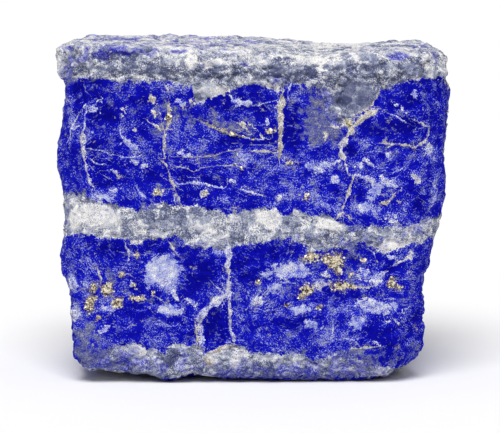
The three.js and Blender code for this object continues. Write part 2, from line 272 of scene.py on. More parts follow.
# Large grains in the calcite of the broad face: (x, height, half width, half height) in mm, the turn in
# degrees, and how much whiter the grain is than the rest.
LARGE_GRAINS = [
    (-31.6, 34.2, 4.9, 2.4, -10, 0.9), (-36.2, 33.4, 1.6, 1.8, 0, 0.9), (-21.8, 32.8, 2.5, 1.0, -6, 0.7),
    (-16.8, 32.9, 1.9, 1.2, 12, 0.2), (-13.7, 32.5, 1.1, 1.5, 0, 0.1), (-10.0, 32.6, 1.8, 1.8, 20, 0.3),
    (-18.6, 30.8, 2.0, 0.5, 6, 0.9), (-3.8, 33.8, 1.0, 0.7, 0, 1.0), (-3.1, 32.0, 0.5, 0.9, 0, 0.7),
    (2.8, 33.9, 2.9, 1.6, -4, 0.7), (9.4, 33.8, 1.8, 0.8, -20, 0.7), (15.0, 32.7, 2.1, 1.1, -8, 0.8),
    (26.5, 30.6, 1.7, 0.9, 8, -0.1), (28.2, 28.4, 3.0, 0.8, 8, 1.2), (22.0, 30.4, 1.6, 0.8, 14, 0.1),
    (-24.3, 7.0, 2.0, 1.1, -8, 0.8), (-19.5, 7.0, 1.1, 0.6, 0, 0.6), (-13.6, 5.2, 1.6, 0.8, 12, 0.5),
    (-15.4, 7.1, 2.0, 0.8, 0, -0.6), (-4.0, 4.0, 0.8, 1.3, -10, 1.2), (-2.5, 6.0, 1.1, 0.8, 0, 0.7),
    (2.2, 5.6, 2.0, 0.6, 4, 0.8), (9.0, 5.6, 1.6, 0.6, 0, 1.2), (13.5, 3.3, 1.3, 0.8, 10, 1.0),
    (16.2, 3.5, 1.1, 0.8, -10, 0.7), (-12.6, 65.1, 1.4, 1.7, 0, 1.6), (12.4, 65.7, 1.1, 1.2, 0, 1.2),
    (-8.3, 59.4, 3.2, 1.4, -10, 0.6), (-2.2, 61.4, 1.8, 0.7, -20, 0.5), (20.6, 58.4, 3.4, 3.0, 20, -1.1),
    (15.2, 55.6, 1.1, 2.8, 8, -0.7), (-25.0, 64.2, 1.8, 1.0, 25, -0.5), (-20.2, 63.6, 1.6, 1.2, -20, -0.5),
    (-29.6, 63.4, 2.0, 1.1, 10, -0.3), (22.6, 66.0, 2.4, 1.1, -14, -0.9), (-33.0, 64.6, 1.2, 1.4, 0, -0.3),
    (17.6, 64.8, 1.6, 0.9, 20, -0.5), (31.4, 63.8, 2.4, 1.2, -8, -0.4), (4.6, 63.6, 1.6, 1.1, 20, -0.3),
    (-7.0, 65.0, 1.7, 0.9, -10, -0.1), (-17.2, 65.4, 1.3, 0.9, 10, 0.1), (8.8, 64.8, 1.4, 1.1, 30, 0.4),
    (1.2, 65.2, 2.0, 0.8, -10, 0.5), (35.4, 63.2, 1.2, 1.4, 0, 0.0), (27.4, 64.6, 1.4, 1.0, 30, 0.3),
]

# Cracks in the broad face: how deep, which also sets how dark their painted shade is, and the line's (x,
# height) points in mm.
CRACKS = [
    (1.2, [(-10.9, 53.4), (-8.6, 52.2), (-6.0, 50.7), (-3.4, 49.9), (-1.8, 50.2)]),
    (0.8, [(-32.2, 47.4), (-30.0, 47.0), (-28.6, 46.9), (-27.6, 46.2)]),
    (0.8, [(-33.9, 60.6), (-34.3, 58.6), (-33.8, 56.8)]),
    (1.5, [(7.2, 62.4), (6.4, 61.2), (5.4, 60.2)]),
    (1.2, [(6.4, 61.9), (6.3, 60.4)]),
    (0.9, [(-13.8, 63.9), (-11.4, 63.2), (-9.2, 62.2), (-6.4, 61.5), (-4.2, 61.2)]),
    (0.8, [(-9.0, 63.4), (-7.0, 63.8), (-5.4, 64.4)]),
    (1.2, [(10.4, 62.9), (11.4, 62.6), (12.2, 62.2)]),
    (1.1, [(10.8, 62.1), (11.8, 61.6)]),
    (0.8, [(20.6, 61.9), (22.6, 62.3), (24.8, 61.2), (27.2, 62.4)]),
    (0.9, [(16.8, 62.6), (18.4, 63.4), (19.8, 64.0)]),
    (0.7, [(21.9, 63.6), (23.2, 62.8), (25.2, 61.6)]),
    (0.8, [(17.6, 64.0), (19.4, 64.8), (21.4, 65.0)]),
    (0.9, [(25.4, 60.8), (26.2, 61.6), (27.2, 62.6)]),
    (0.7, [(-18.8, 62.6), (-16.6, 61.8), (-15.2, 61.4)]),
    (0.7, [(-33.8, 63.6), (-32.6, 62.8)]),
    (0.8, [(7.6, 34.4), (9.2, 34.2), (10.4, 33.6), (11.2, 32.9)]),
    (0.8, [(0.6, 31.3), (2.0, 31.5), (3.2, 30.9)]),
    (0.7, [(7.6, 31.4), (8.0, 32.2), (9.0, 32.4)]),
    (0.7, [(-23.0, 31.6), (-21.4, 31.5), (-19.8, 32.0)]),
    (0.5, [(-29.0, 36.6), (-28.0, 35.4), (-27.4, 33.6), (-27.0, 31.8)]),
    (0.6, [(-38.2, 34.9), (-36.6, 35.4), (-35.8, 36.6)]),
    (0.6, [(-18.6, 33.4), (-17.4, 33.8), (-16.6, 33.0)]),
    (0.8, [(20.6, 7.0), (22.4, 7.5), (24.6, 7.4)]),
    (0.8, [(19.6, 17.2), (19.4, 18.6)]),
    (0.7, [(-5.5, 16.6), (-5.5, 13.4), (-5.6, 10.2)]),
    (0.7, [(4.2, 37.2), (4.9, 36.2)]),
    (0.7, [(30.4, 48.2), (31.6, 47.4), (33.0, 46.8)]),
    (0.6, [(34.4, 51.4), (33.4, 49.2), (31.8, 48.6)]),
    (0.6, [(-23.8, 5.0), (-20.8, 5.6), (-18.0, 5.0), (-14.2, 5.8)]),
    (0.6, [(9.6, 5.8), (11.0, 4.4), (12.6, 3.6), (15.0, 2.4)]),
]

# Threads of calcite, too thin to hide the blue: how pale, and the line's (x, height) points in mm.
THREADS = [
    (1.3, [(-4.2, 28.6), (-3.2, 27.4), (-2.6, 26.2)]),
    (1.3, [(-10.9, 27.2), (-9.4, 26.4), (-8.2, 25.4)]),
    (1.4, [(29.6, 13.6), (30.6, 11.6), (30.2, 9.6)]),
    (1.3, [(31.2, 12.6), (32.0, 14.2)]),
    (1.5, [(-23.6, 28.2), (-23.2, 26.4), (-22.8, 25.0)]),
    (1.2, [(-33.5, 54.0), (-31.0, 52.2), (-27.4, 51.6), (-24.8, 51.8)]),
    (1.3, [(23.6, 38.0), (25.4, 41.4), (29.8, 42.6), (33.4, 40.6), (34.4, 37.4)]),
    (1.4, [(-0.5, 14.6), (4.4, 15.4), (8.8, 17.2), (13.0, 17.6)]),
    (1.5, [(11.5, 21.6), (16.0, 21.2), (21.5, 21.6), (25.0, 22.2)]),
    (1.2, [(-2.0, 31.0), (0.6, 27.4), (1.0, 23.8)]),
    (1.3, [(-32.0, 26.2), (-30.4, 24.0), (-29.6, 21.6)]),
    (1.4, [(-21.0, 12.6), (-16.4, 12.0), (-13.4, 12.8)]),
    (1.2, [(-14.2, 51.0), (-11.8, 49.6), (-8.6, 49.2), (-6.2, 50.0)]),
    (1.3, [(7.6, 41.6), (10.2, 40.4), (13.0, 40.8), (14.6, 39.6)]),
    (1.2, [(9.2, 37.4), (12.6, 38.6), (15.8, 37.8)]),
    (1.3, [(20.6, 46.2), (23.8, 47.4), (26.6, 46.8)]),
    (1.2, [(31.6, 46.4), (33.8, 44.6), (36.0, 45.0)]),
    (1.3, [(13.4, 8.2), (17.0, 9.4), (21.2, 9.2), (23.4, 10.8)]),
    (1.2, [(1.2, 12.2), (3.4, 10.8), (6.2, 11.2)]),
    (1.3, [(-24.6, 14.8), (-21.0, 15.6), (-18.6, 17.2)]),
]

# Patches on the broad face, each (x, height, half width, half height, strength), in mm. In the blue rock, a
# strength below 0 is a deeper blue and above 0 a paler one. In calcite, below 0 is greyer and above 0 whiter.
BLUE_PATCHES = [
    (-29.8, 54.7, 3.0, 2.3, -1.3), (-30.5, 59.5, 3.4, 1.8, -0.6), (-35.3, 58.5, 1.4, 3.2, -0.7),
    (-36.4, 46.3, 0.9, 0.9, -0.6), (-29.0, 43.6, 4.4, 3.2, -0.8), (-30.5, 49.3, 2.4, 1.2, -0.3),
    (-20.3, 42.9, 2.2, 1.3, -0.8), (-13.6, 42.6, 2.8, 1.4, -0.8), (-7.4, 41.6, 2.4, 1.1, -0.9),
    (-12.8, 38.2, 2.2, 1.8, -0.6), (-4.5, 37.6, 4.4, 2.0, -0.5), (-4.0, 49.1, 4.2, 1.2, -0.8),
    (-5.5, 57.4, 5.6, 1.6, -0.7), (-10.5, 56.6, 1.8, 0.9, -0.4), (-23.5, 58.2, 2.4, 2.4, -0.3),
    (-22.5, 53.5, 1.8, 2.4, -0.3), (-21.0, 50.6, 2.0, 1.2, -0.4), (-25.5, 38.0, 2.0, 1.4, -0.3),
    (-32.4, 56.0, 0.9, 0.6, 1.2), (-32.6, 47.6, 1.2, 1.6, -0.8), (-26.8, 46.3, 2.0, 0.6, 0.2),
    (-31.3, 38.3, 1.5, 1.3, 0.9), (-28.2, 39.0, 0.8, 1.0, 0.7), (-11.5, 50.4, 4.6, 2.6, 0.35),
    (-6.2, 37.8, 1.0, 0.8, 1.0), (-3.9, 57.4, 0.8, 0.6, 0.8), (-1.9, 57.1, 0.7, 0.5, 0.7),
    (-1.9, 46.3, 2.0, 1.1, 1.0), (-2.3, 44.2, 0.7, 0.5, 1.2), (-36.6, 52.8, 0.8, 1.6, 0.7),
    (-15.5, 59.0, 2.4, 1.8, 0.3), (-33.6, 60.2, 0.5, 1.2, 0.5), (-30.0, 66.6, 4.0, 0.9, -1.4),
    (32.8, 67.0, 3.0, 1.2, -0.9), (-2.0, 54.6, 2.4, 1.4, -0.6), (-15.6, 53.8, 1.2, 1.8, 0.6),
    (-18.6, 60.0, 2.0, 1.2, 0.5), (-12.5, 48.0, 2.6, 1.0, 0.4), (-8.5, 50.0, 1.4, 1.0, 0.4),
    (-29.5, 38.6, 2.6, 1.4, 0.5), (-23.8, 59.8, 1.2, 1.2, 0.4), (-22.3, 44.6, 0.4, 0.4, 2.0),
    (-23.9, 45.4, 0.4, 0.3, 1.8), (2.5, 55.4, 2.2, 1.5, -0.8), (2.2, 49.8, 2.3, 1.5, -1.0),
    (0.2, 53.0, 1.8, 1.6, -0.4), (7.4, 52.4, 2.0, 4.2, -1.2), (6.9, 58.6, 1.0, 1.8, -0.6),
    (9.6, 58.2, 2.0, 1.4, 0.4), (13.2, 47.3, 1.8, 1.3, -0.7), (19.2, 47.3, 1.0, 1.0, -1.6),
    (21.6, 49.4, 1.8, 0.8, 0.5), (27.5, 52.3, 7.0, 1.9, -0.9), (22.5, 51.3, 2.4, 1.2, -0.6),
    (31.5, 57.5, 5.5, 3.4, -0.5), (37.2, 56.0, 1.2, 6.0, -0.6), (25.6, 47.2, 1.2, 1.8, -0.6),
    (23.0, 46.0, 1.4, 1.2, -0.3), (31.5, 51.8, 4.0, 2.2, -0.6), (7.0, 40.5, 3.4, 2.6, 0.5),
    (4.2, 36.8, 1.0, 0.7, 0.8), (35.8, 47.4, 1.1, 1.2, 0.9), (32.6, 42.2, 1.0, 0.9, 1.1),
    (22.8, 41.5, 0.9, 0.6, 1.2), (26.4, 41.2, 1.9, 0.8, 1.4), (23.6, 39.4, 0.8, 1.6, 0.8),
    (22.2, 36.0, 1.6, 1.2, 1.0), (27.6, 37.8, 2.2, 1.6, -0.6), (33.0, 36.7, 1.7, 1.5, -1.4),
    (31.2, 40.4, 1.8, 1.6, -0.5), (36.0, 39.2, 0.8, 2.4, 0.7), (20.7, 40.2, 1.2, 2.0, -0.7),
    (29.2, 39.8, 1.2, 1.2, -0.3), (16.2, 41.8, 1.0, 0.9, 1.4), (13.1, 44.1, 1.2, 0.9, 1.3),
    (10.9, 44.4, 0.8, 0.7, 1.1), (9.9, 42.7, 1.5, 0.7, -0.8), (4.6, 43.6, 1.9, 1.3, 0.8),
    (1.5, 41.2, 3.0, 1.4, 0.2), (1.2, 38.1, 2.4, 1.4, -0.5), (13.0, 38.5, 2.0, 1.4, 0.7),
    (16.4, 38.4, 1.4, 1.6, -0.2), (27.0, 46.0, 0.5, 0.5, 1.2), (24.2, 44.6, 0.8, 0.6, 0.9),
    (20.9, 44.6, 0.7, 0.5, 1.0), (4.6, 37.9, 0.5, 0.4, 1.6), (-29.0, 27.6, 2.9, 1.8, -1.0),
    (-35.2, 22.6, 1.9, 1.2, -0.8), (-36.6, 27.2, 1.4, 2.6, 0.2), (-24.0, 23.8, 2.0, 2.6, -0.4),
    (-19.4, 28.0, 2.5, 1.3, -0.5), (-10.8, 23.6, 3.9, 4.0, -0.8), (-13.6, 20.0, 1.6, 1.6, -0.5),
    (-3.0, 25.2, 2.0, 3.2, -0.7), (-1.2, 21.6, 1.6, 1.6, -0.6), (-8.0, 11.8, 1.9, 4.0, -0.9),
    (-13.2, 10.4, 1.8, 1.8, -0.5), (-22.0, 12.6, 6.4, 2.8, -0.15), (-24.0, 20.2, 1.6, 1.2, -0.5),
    (-20.6, 17.6, 1.6, 1.2, -0.5), (-15.0, 17.6, 1.2, 1.6, -0.3), (-2.0, 14.0, 1.6, 5.0, 0.1),
    (-34.0, 9.6, 2.8, 4.6, 0.5), (-29.2, 15.8, 1.6, 0.6, 0.8), (-16.8, 19.3, 0.9, 0.7, 0.8),
    (-30.5, 8.5, 1.2, 3.0, 0.5), (-36.9, 21.0, 0.5, 1.2, 1.0), (-35.9, 15.0, 0.5, 1.4, 0.9),
    (-7.0, 27.6, 1.4, 0.8, 1.4), (-12.7, 16.9, 0.8, 0.4, 1.5), (3.0, 26.8, 3.6, 1.8, -0.8),
    (7.4, 28.0, 1.8, 1.2, -0.7), (3.4, 19.9, 2.2, 1.1, 0.8), (8.9, 15.3, 2.0, 0.9, 1.1),
    (8.4, 12.6, 3.6, 1.3, -0.7), (4.8, 9.0, 4.6, 2.2, 0.1), (14.6, 11.0, 4.4, 3.8, 0.3),
    (16.0, 18.2, 1.6, 1.1, -0.9), (22.6, 18.9, 3.6, 1.2, -0.6), (20.8, 13.3, 1.7, 1.9, 0.5),
    (22.5, 14.9, 3.6, 0.8, 0.6), (10.0, 13.2, 1.2, 1.0, -0.6), (18.2, 15.6, 2.4, 1.8, 0.45),
    (23.8, 11.0, 3.0, 2.6, -0.8), (27.4, 16.4, 2.4, 1.0, 0.6), (32.2, 12.8, 1.6, 2.2, -0.5),
    (31.3, 8.1, 0.6, 0.6, 1.0), (28.0, 7.4, 2.6, 2.4, -0.5), (21.8, 23.0, 1.4, 1.2, 0.9),
    (24.6, 21.7, 1.3, 0.9, 1.4), (26.6, 24.8, 2.6, 2.0, -0.7), (31.3, 26.4, 1.0, 1.4, 0.6),
    (32.8, 23.0, 1.2, 2.4, -0.4), (19.6, 26.4, 2.2, 1.8, -0.6), (13.4, 20.7, 1.2, 0.7, 1.6),
    (0.4, 17.0, 1.0, 1.0, 0.7), (7.3, 23.3, 3.0, 1.0, 1.6), (23.2, 16.2, 2.1, 1.0, 1.5),
    (-18.3, 22.8, 3.2, 2.6, 1.0), (-18.0, 20.9, 1.5, 1.0, 1.4), (-17.2, 15.2, 2.2, 0.8, 1.5),
    (11.7, 12.2, 1.0, 0.6, 1.5), (-18.6, 21.4, 0.9, 0.5, 1.8),
]
CALCITE_PATCHES = [
    (-35.5, 64.5, 2.4, 2.0, -0.3), (-24, 64.5, 8.0, 1.6, -0.5), (-13, 65.5, 1.4, 2.4, 1.0),
    (-10, 68, 6.0, 1.2, 0.7), (-1, 66, 4.0, 1.6, 0.4), (-5, 62.5, 4.4, 1.2, -0.5),
    (12.5, 65.5, 1.6, 1.8, 1.0), (15, 62, 1.6, 1.2, 0.3), (18, 65.5, 2.4, 1.6, -0.2),
    (24, 65.5, 3.2, 2.0, -0.8), (29, 62, 1.6, 0.8, 0.8), (32, 63.5, 2.8, 1.2, -0.4),
    (9, 62.5, 2.8, 1.4, -0.2), (-7.5, 59, 3.6, 1.4, 0.5), (19, 57, 4.4, 3.4, -0.8),
    (15, 54.5, 1.4, 2.4, -0.3), (-32, 34.5, 5.2, 2.8, 1.0), (-36, 32.5, 2.0, 2.0, 0.6),
    (-11, 32, 3.6, 2.0, 0.2), (-4, 33, 2.4, 1.6, 0.2), (2.5, 34.5, 3.2, 1.4, 1.0),
    (15, 32.5, 2.4, 1.4, 1.0), (8.5, 30.5, 3.6, 1.0, -0.4), (19, 29.5, 3.2, 1.2, -0.2),
    (28, 28.5, 2.8, 1.0, 1.0), (23, 31, 2.8, 1.0, -0.1), (-20, 6.5, 2.0, 1.2, 0.5),
    (-9.5, 4.5, 1.8, 1.8, 1.0), (-3, 5, 2.8, 1.6, 0.4), (4, 5.5, 4.0, 0.8, 0.5), (-15, 6, 2.0, 1.2, -0.4),
    (-25, 4, 4.0, 1.0, -0.4), (1, 3, 4.0, 0.8, -0.4), (16, 5.5, 2.8, 0.8, 0.5), (9, 4, 2.8, 1.0, 0.3),
    (-24, 63, 18.0, 2.4, -0.5), (-28, 67, 12.0, 2.5, -0.3), (22, 63, 18.0, 2.4, -0.45),
    (10, 32, 18.0, 4.0, -0.1), (-17, 33, 6.0, 4.0, -0.3), (-22, 5, 14.0, 3.5, -0.1),
    (8, 3, 24.0, 3.5, -0.3),
]
# Where blue rock, calcite and pyrite are mixed finely: greyish in the blue, bluish in the calcite.
HAZE_PATCHES = [
    (12.8, 56.5, 2.2, 4.4, 1.2), (14.8, 51.4, 3.7, 2.4, 1.4), (9.8, 54.5, 1.6, 4.4, 0.45),
    (-13, 55, 3.2, 2.4, 0.5), (-4.6, 52.3, 3.2, 1.3, 0.8), (11.8, 49.8, 1.4, 1.0, 0.7),
    (-8, 54, 3.2, 1.6, 0.5), (-2, 51.5, 2.8, 1.2, 0.5), (-18, 54.5, 2.8, 3.6, 0.5),
    (-32, 52, 2.8, 0.8, 0.6), (-8, 46.5, 6.4, 1.2, 0.6), (29, 48, 4.8, 1.0, 0.5),
    (-20, 39.5, 2.4, 1.4, 0.5), (-30, 22, 2.0, 2.0, 0.4), (-23, 17.5, 3.6, 1.6, 0.4),
    (18, 23, 4.4, 2.8, 0.4), (8, 18, 2.0, 2.4, 0.4), (21, 5.5, 4.4, 2.4, 0.7), (19, 27.5, 4.0, 1.6, 0.6),
    (-26, 57.5, 4.0, 2.0, 0.4), (9, 39.5, 3.2, 3.2, 0.3), (-33.5, 8.5, 3.4, 4.6, 0.85),
    (-16, 28, 2.0, 1.0, 0.6), (-28, 4, 9.0, 3.0, 0.7), (-14, 5, 5.0, 2.0, 0.4), (0, 2, 9.0, 2.2, 0.7),
    (16, 2, 9.0, 2.6, 0.8), (33, 32, 5.0, 2.4, 0.7), (22, 29, 6.0, 1.6, 0.6), (8, 29.5, 4.0, 1.2, 0.5),
    (-8, 29, 5.0, 1.0, 0.5), (-31.5, 66.3, 3.4, 1.0, 1.2), (-28.4, 67.2, 3.0, 0.8, 1.3),
    (-34.4, 65.8, 1.2, 0.7, 1.2), (-25.2, 66.8, 1.4, 0.5, 1.2), (-21.0, 66.4, 1.6, 0.5, 1.0),
    (-37.5, 63.5, 1.4, 4.0, 1.2), (28.2, 66.4, 1.8, 0.8, 1.3), (32.6, 67.2, 2.8, 1.4, 1.4),
    (36.4, 66.0, 1.6, 1.2, 1.2), (-2.2, 64.6, 1.2, 0.5, 1.0), (4, 61.5, 3.0, 1.2, 0.7),
    (-38.0, 34.0, 1.2, 4.0, 0.8), (19.4, 32.2, 1.4, 0.9, 1.5), (-21.6, 36.0, 2.4, 0.9, 0.9),
]
# Clusters of pyrite, each (x, height, half width, half height), in mm.
PYRITE_CLUSTERS = [
    (-32.3, 19.7, 0.6, 0.8), (-29.7, 19.3, 1.0, 1.0), (-29.0, 20.5, 0.5, 0.4), (-33.3, 16.3, 0.7, 1.3),
    (-32.3, 17.5, 0.5, 0.5), (-27.5, 16.7, 0.9, 1.1), (-24.6, 17.5, 0.5, 0.5), (-23.6, 17.5, 0.5, 0.5),
    (-26.8, 22.6, 0.4, 0.5), (-23.6, 26.4, 0.4, 0.6), (-20.4, 18.7, 0.3, 0.5), (-31.4, 13.8, 0.5, 0.4),
    (-24.2, 20.3, 0.4, 0.3), (-22.6, 17.7, 0.3, 0.3), (11.3, 26.0, 1.2, 0.8), (14.1, 25.4, 0.6, 0.6),
    (15.9, 25.2, 1.6, 1.4), (21.7, 25.4, 0.6, 0.4), (17.1, 23.2, 0.5, 0.5), (19.3, 22.4, 0.4, 0.4),
    (10.5, 19.5, 1.2, 0.9), (9.5, 18.3, 0.5, 0.5), (17.1, 20.1, 1.4, 0.9), (18.7, 20.1, 0.6, 0.5),
    (19.9, 19.9, 0.6, 0.4), (27.5, 20.7, 0.9, 0.9), (29.2, 19.7, 0.5, 0.4), (12.9, 15.7, 0.7, 0.4),
    (0.7, 20.9, 0.4, 0.4), (8.9, 17.9, 0.4, 0.4), (6.3, 16.3, 0.4, 0.4), (3.0, 51.4, 0.8, 0.5),
    (-8.1, 52.2, 0.4, 0.2), (-6.5, 51.6, 0.5, 0.3), (-4.7, 50.8, 0.6, 0.3), (-2.3, 50.2, 0.4, 0.2),
    (-0.2, 49.8, 0.3, 0.2), (6.8, 45.0, 0.7, 0.4), (10.2, 38.3, 0.6, 0.5), (-2.7, 43.8, 0.3, 0.2),
    (-3.9, 44.6, 0.3, 0.2), (-9.9, 38.7, 0.4, 0.3), (18.9, 52.9, 0.5, 0.4), (25.8, 36.9, 0.5, 0.4),
    (-17.1, 54.6, 0.4, 0.7), (-19.5, 39.1, 0.4, 0.4), (-17.5, 54.0, 0.3, 0.3),
]

# Everything that is drawn on one side, as in the lists above.
Marks = namedtuple("Marks", "veins spots grains cracks threads blue calcite haze pyrite")

# The six sides of the block: the axis that a side faces, and 1 for its far end or 0 for its near end.
LEFT, RIGHT, FRONT, BACK, UNDER, TOP = (0, 0), (0, 1), (1, 0), (1, 1), (2, 0), (2, 1)
# The place of each side in the stone's flat layout: left, bottom, width and height, of a square of 1 by 1.
FLAT_LAYOUT = {
    FRONT: (0.0, 0.0, 0.56, 0.66),
    BACK: (0.57, 0.0, 0.43, 0.50),
    UNDER: (0.57, 0.51, 0.43, 0.15),
    LEFT: (0.0, 0.67, 0.25, 0.33),
    RIGHT: (0.26, 0.67, 0.25, 0.33),
    TOP: (0.52, 0.67, 0.48, 0.33),
}


def linear(code):
    """The linear colour of an sRGB hex value."""
    parts = [int(code[i : i + 2], 16) / 255 for i in (1, 3, 5)]
    return tuple(p / 12.92 if p <= 0.04045 else ((p + 0.055) / 1.055) ** 2.4 for p in parts)


def colour_property(name, code, description):
    """A setting for a colour, which starts as an sRGB hex value."""
    return bpy.props.FloatVectorProperty(
        name=name, description=description, subtype="COLOR", size=3, min=0, max=1, default=linear(code)
    )


def length_property(name, size_mm, description):
    """A setting for a length, which starts at a size in mm."""
    return bpy.props.FloatProperty(
        name=name, description=description, subtype="DISTANCE", unit="LENGTH", min=0, default=size_mm * MM
    )


class LapisForm(bpy.types.PropertyGroup):
    """Sizes of the stone's surface."""

    cell: length_property("Cell", 0.69, "Spacing of the skin's points; the broad face has half of this")
    lump: length_property("Calcite lump", 0.8, "Height of the lumps in the calcite")
    rough: length_property("Roughness", 0.5, "Height of the bumps in the blue rock")
    dip: length_property("Dip", 3.0, "How far the bands sink from the broad face to the back")
    grain: length_property("Pyrite grain", 0.36, "Width of a grain of pyrite")
    seed: bpy.props.IntProperty(name="Seed", description="Changes the hidden sides", default=7)


class LapisColours(bpy.types.PropertyGroup):
    """Colours of the minerals."""

    # Deep blue is also where the painted shade of pits and cracks takes the blue rock.
    deep: colour_property("Deep blue", "#030384", "Clean lazurite in the pits")
    rich: colour_property("Rich blue", "#0809AC", "Clean lazurite")
    blue: colour_property("Blue", "#1B22C2", "Most of the lazurite")
    pale: colour_property("Pale blue", "#4850D0", "Lazurite mixed with calcite")
    milk: colour_property("Milky blue", "#A2A9D8", "Spots of calcite with lazurite in it")
    # Calcite shadow is also where the painted shade of pits and cracks takes the calcite.
    bloom: colour_property("Bloom", "#C0C5E2", "Specks and pale patches")
    shadow: colour_property("Calcite shadow", "#4E5478", "Clear calcite with dark rock behind it")
    grey: colour_property("Calcite grey", "#868BA5", "Clear calcite")
    clear: colour_property("Calcite pale grey", "#B0B6C6", "Calcite that is partly crushed")
    white: colour_property("Calcite white", "#D8D7DA", "Crushed calcite")
    bright: colour_property("Calcite bright", "#F4F2EE", "The tips of the calcite")
    brown: colour_property("Vein brown", "#857F78", "Stains in the veins")
    cream: colour_property("Vein cream", "#CFC9BF", "Calcite in the veins")
    gold: colour_property("Pyrite", "#EDE2C4", "Pyrite")
    dust: colour_property("Pyrite dust", "#B5A585", "Pyrite too fine to tell apart")
    rust: colour_property("Rust", "#4B4036", "Stained rock between the grains of pyrite")
    haze: colour_property("Haze", "#62668A", "Blue rock mixed with grey")


class LapisStudio(bpy.types.PropertyGroup):
    """Camera, floor and light."""

    distance: length_property("Distance", 500, "From the lens to the broad face")
    height: length_property("Height", 100, "Of the lens above the floor")
    lens: bpy.props.FloatProperty(name="Lens", description="Focal length in mm", default=181.6)
    aim: length_property("Aim", 34.2, "Height of the point that the camera looks at")
    key: bpy.props.FloatProperty(name="Key light", description="Its strength", default=2.8)
    floor: colour_property("Floor", "#F4F4F4", "Colour of the floor")
    sky: bpy.props.FloatProperty(name="Surroundings", description="Their brightness", default=0.36)


# ---------------------------------------------------------------- the skin of the stone


def shell(counts):
    """Points and faces of the outside of a box of counts cells, and each face's side.

    Places are in half cells. The front has a point at each half cell, and its neighbours meet those points.
    """
    index = {}
    faces = []
    sides = []
    for axis in range(3):
        u, v = (axis + 1) % 3, (axis + 2) % 3
        for end in (0, 1):
            side = (axis, end)
            stride = 1 if side == FRONT else 2
            for a in range(0, 2 * counts[u], stride):
                for b in range(0, 2 * counts[v], stride):
                    corners = []
                    for da, db in ((0, 0), (stride, 0), (stride, stride), (0, stride)):
                        place = [0, 0, 0]
                        place[axis] = 2 * counts[axis] * end
                        place[u] = a + da
                        place[v] = b + db
                        corners.append(tuple(place))
                    if side != FRONT:
                        corners = with_middles(corners)
                    if not end:
                        corners.reverse()
                    faces.append([index.setdefault(place, len(index)) for place in corners])
                    sides.append(side)
    return np.array(list(index), float), faces, sides


def with_middles(corners):
    """Adds the middle of an edge that lies along the front."""
    ring = []
    for here, after in zip(corners, corners[1:] + corners[:1]):
        ring.append(here)
        if here[1] == 0 and after[1] == 0:
            ring.append(tuple((p + q) // 2 for p, q in zip(here, after)))
    return ring


def smooth_solid():
    """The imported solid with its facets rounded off, as a tree that rays can be cast at, in mm."""
    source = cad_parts[NODE]
    rounded = source.copy()
    rounded.data = source.data.copy()
    rounded.hide_viewport = False
    bpy.context.scene.collection.objects.link(rounded)
    weld = rounded.modifiers.new("weld", "WELD")
    weld.merge_threshold = 0.001 * MM
    subdivide = rounded.modifiers.new("rounding", "SUBSURF")
    subdivide.levels = 2
    graph = bpy.context.evaluated_depsgraph_get()
    mesh = rounded.evaluated_get(graph).to_mesh()
    points = np.empty(len(mesh.vertices) * 3)
    mesh.vertices.foreach_get("co", points)
    points = (points.reshape(-1, 3) / MM).tolist()
    tree = BVHTree.FromPolygons(points, [list(p.vertices) for p in mesh.polygons])
    rounded.evaluated_get(graph).to_mesh_clear()
    bpy.data.objects.remove(rounded)
    return tree


def cast(tree, origins, directions):
    """Where rays from inside the stone come out, or the nearest point for a ray that starts outside it."""
    hits = []
    for origin, direction in zip(origins, directions):
        start = Vector(origin)
        hit = tree.ray_cast(start, Vector(direction))[0]
        hits.append(tuple(hit or tree.find_nearest(start)[0]))
    return np.array(hits)


def bumps(points, width, layer=0):
    """Smooth noise from -1 to 1, for bumps of that width in mm, which may differ along x, y and z.

    Here and below, each layer is taken from another place in the noise.
    """
    shifted = points / np.asarray(width, float) + 13.7 * (layer + 1)
    return np.array([noise.noise(p) for p in shifted.tolist()])


def domes(points, width, layer=0):
    """Rounded lumps of about that width in mm, from 0 in the gaps to 1 on top."""
    shifted = points / width + 7.9 * (layer + 1)
    nearest = np.array([noise.voronoi(p)[0][0] for p in shifted.tolist()])
    return np.clip(1 - nearest / 0.75, 0, 1)


def ridges(points, width, layer=0):
    """Sharp winding ridges about that width in mm apart, from -0.5 between them to 0.5 on top."""
    return 0.5 - np.minimum(1, 3.0 * np.abs(bumps(points, width, layer)))


def facets(points, width, layer=0):
    """Flat broken faces of about that width in mm, each tilted its own way and mostly from -1 to 1.

    Also gives 1 in the narrow gaps between them and 0 on them.
    """
    shifted = points / np.asarray(width, float) + 0.4 * bumps(points, width, 30)[:, None] + 5.3 * (layer + 1)
    found = [noise.voronoi(place) for place in shifted.tolist()]
    centres = np.array([nearest[0] for _, nearest in found])
    apart = np.array([distances[1] - distances[0] for distances, _ in found])
    # A large multiple of a centre's place gives each face a tilt and a level of its own.
    tilt = np.sin(900 * centres @ np.array([(1.3, 2.7, 1.1), (3.1, 1.8, 2.7), (0.7, 2.4, 1.2)]))
    height = 1.3 * np.sum((shifted - centres) * tilt, axis=1) + 0.45 * np.sin(700 * centres[:, 0])
    return height, 1 - step(apart, 0.0, 0.14)


def step(values, low, high):
    """0 below low, 1 above high and smooth between."""
    t = np.clip((values - low) / (high - low), 0, 1)
    return t * t * (3 - 2 * t)


class Side:
    """One side of the stone, on which things are placed by two of their coordinates."""

    def __init__(self, tree, side):
        self.tree = tree
        self.axis, self.end = side
        self.across, self.up = [i for i in range(3) if i != self.axis]
        self.start = (FACE_MIDDLE, 0) if side == FRONT else (0, 0)

    def onto(self, places):
        """The 3-D points of the stone's surface at (across, up) places, in mm."""
        middle = [(lo + hi) / 2 / MM for lo, hi in zip(*cad_box)]
        origins = np.tile(np.array(middle), (len(places), 1))
        origins[:, [self.across, self.up]] = np.asarray(places) + self.start
        direction = np.zeros(3)
        direction[self.axis] = 1 if self.end else -1
        return cast(self.tree, origins, [direction] * len(places))


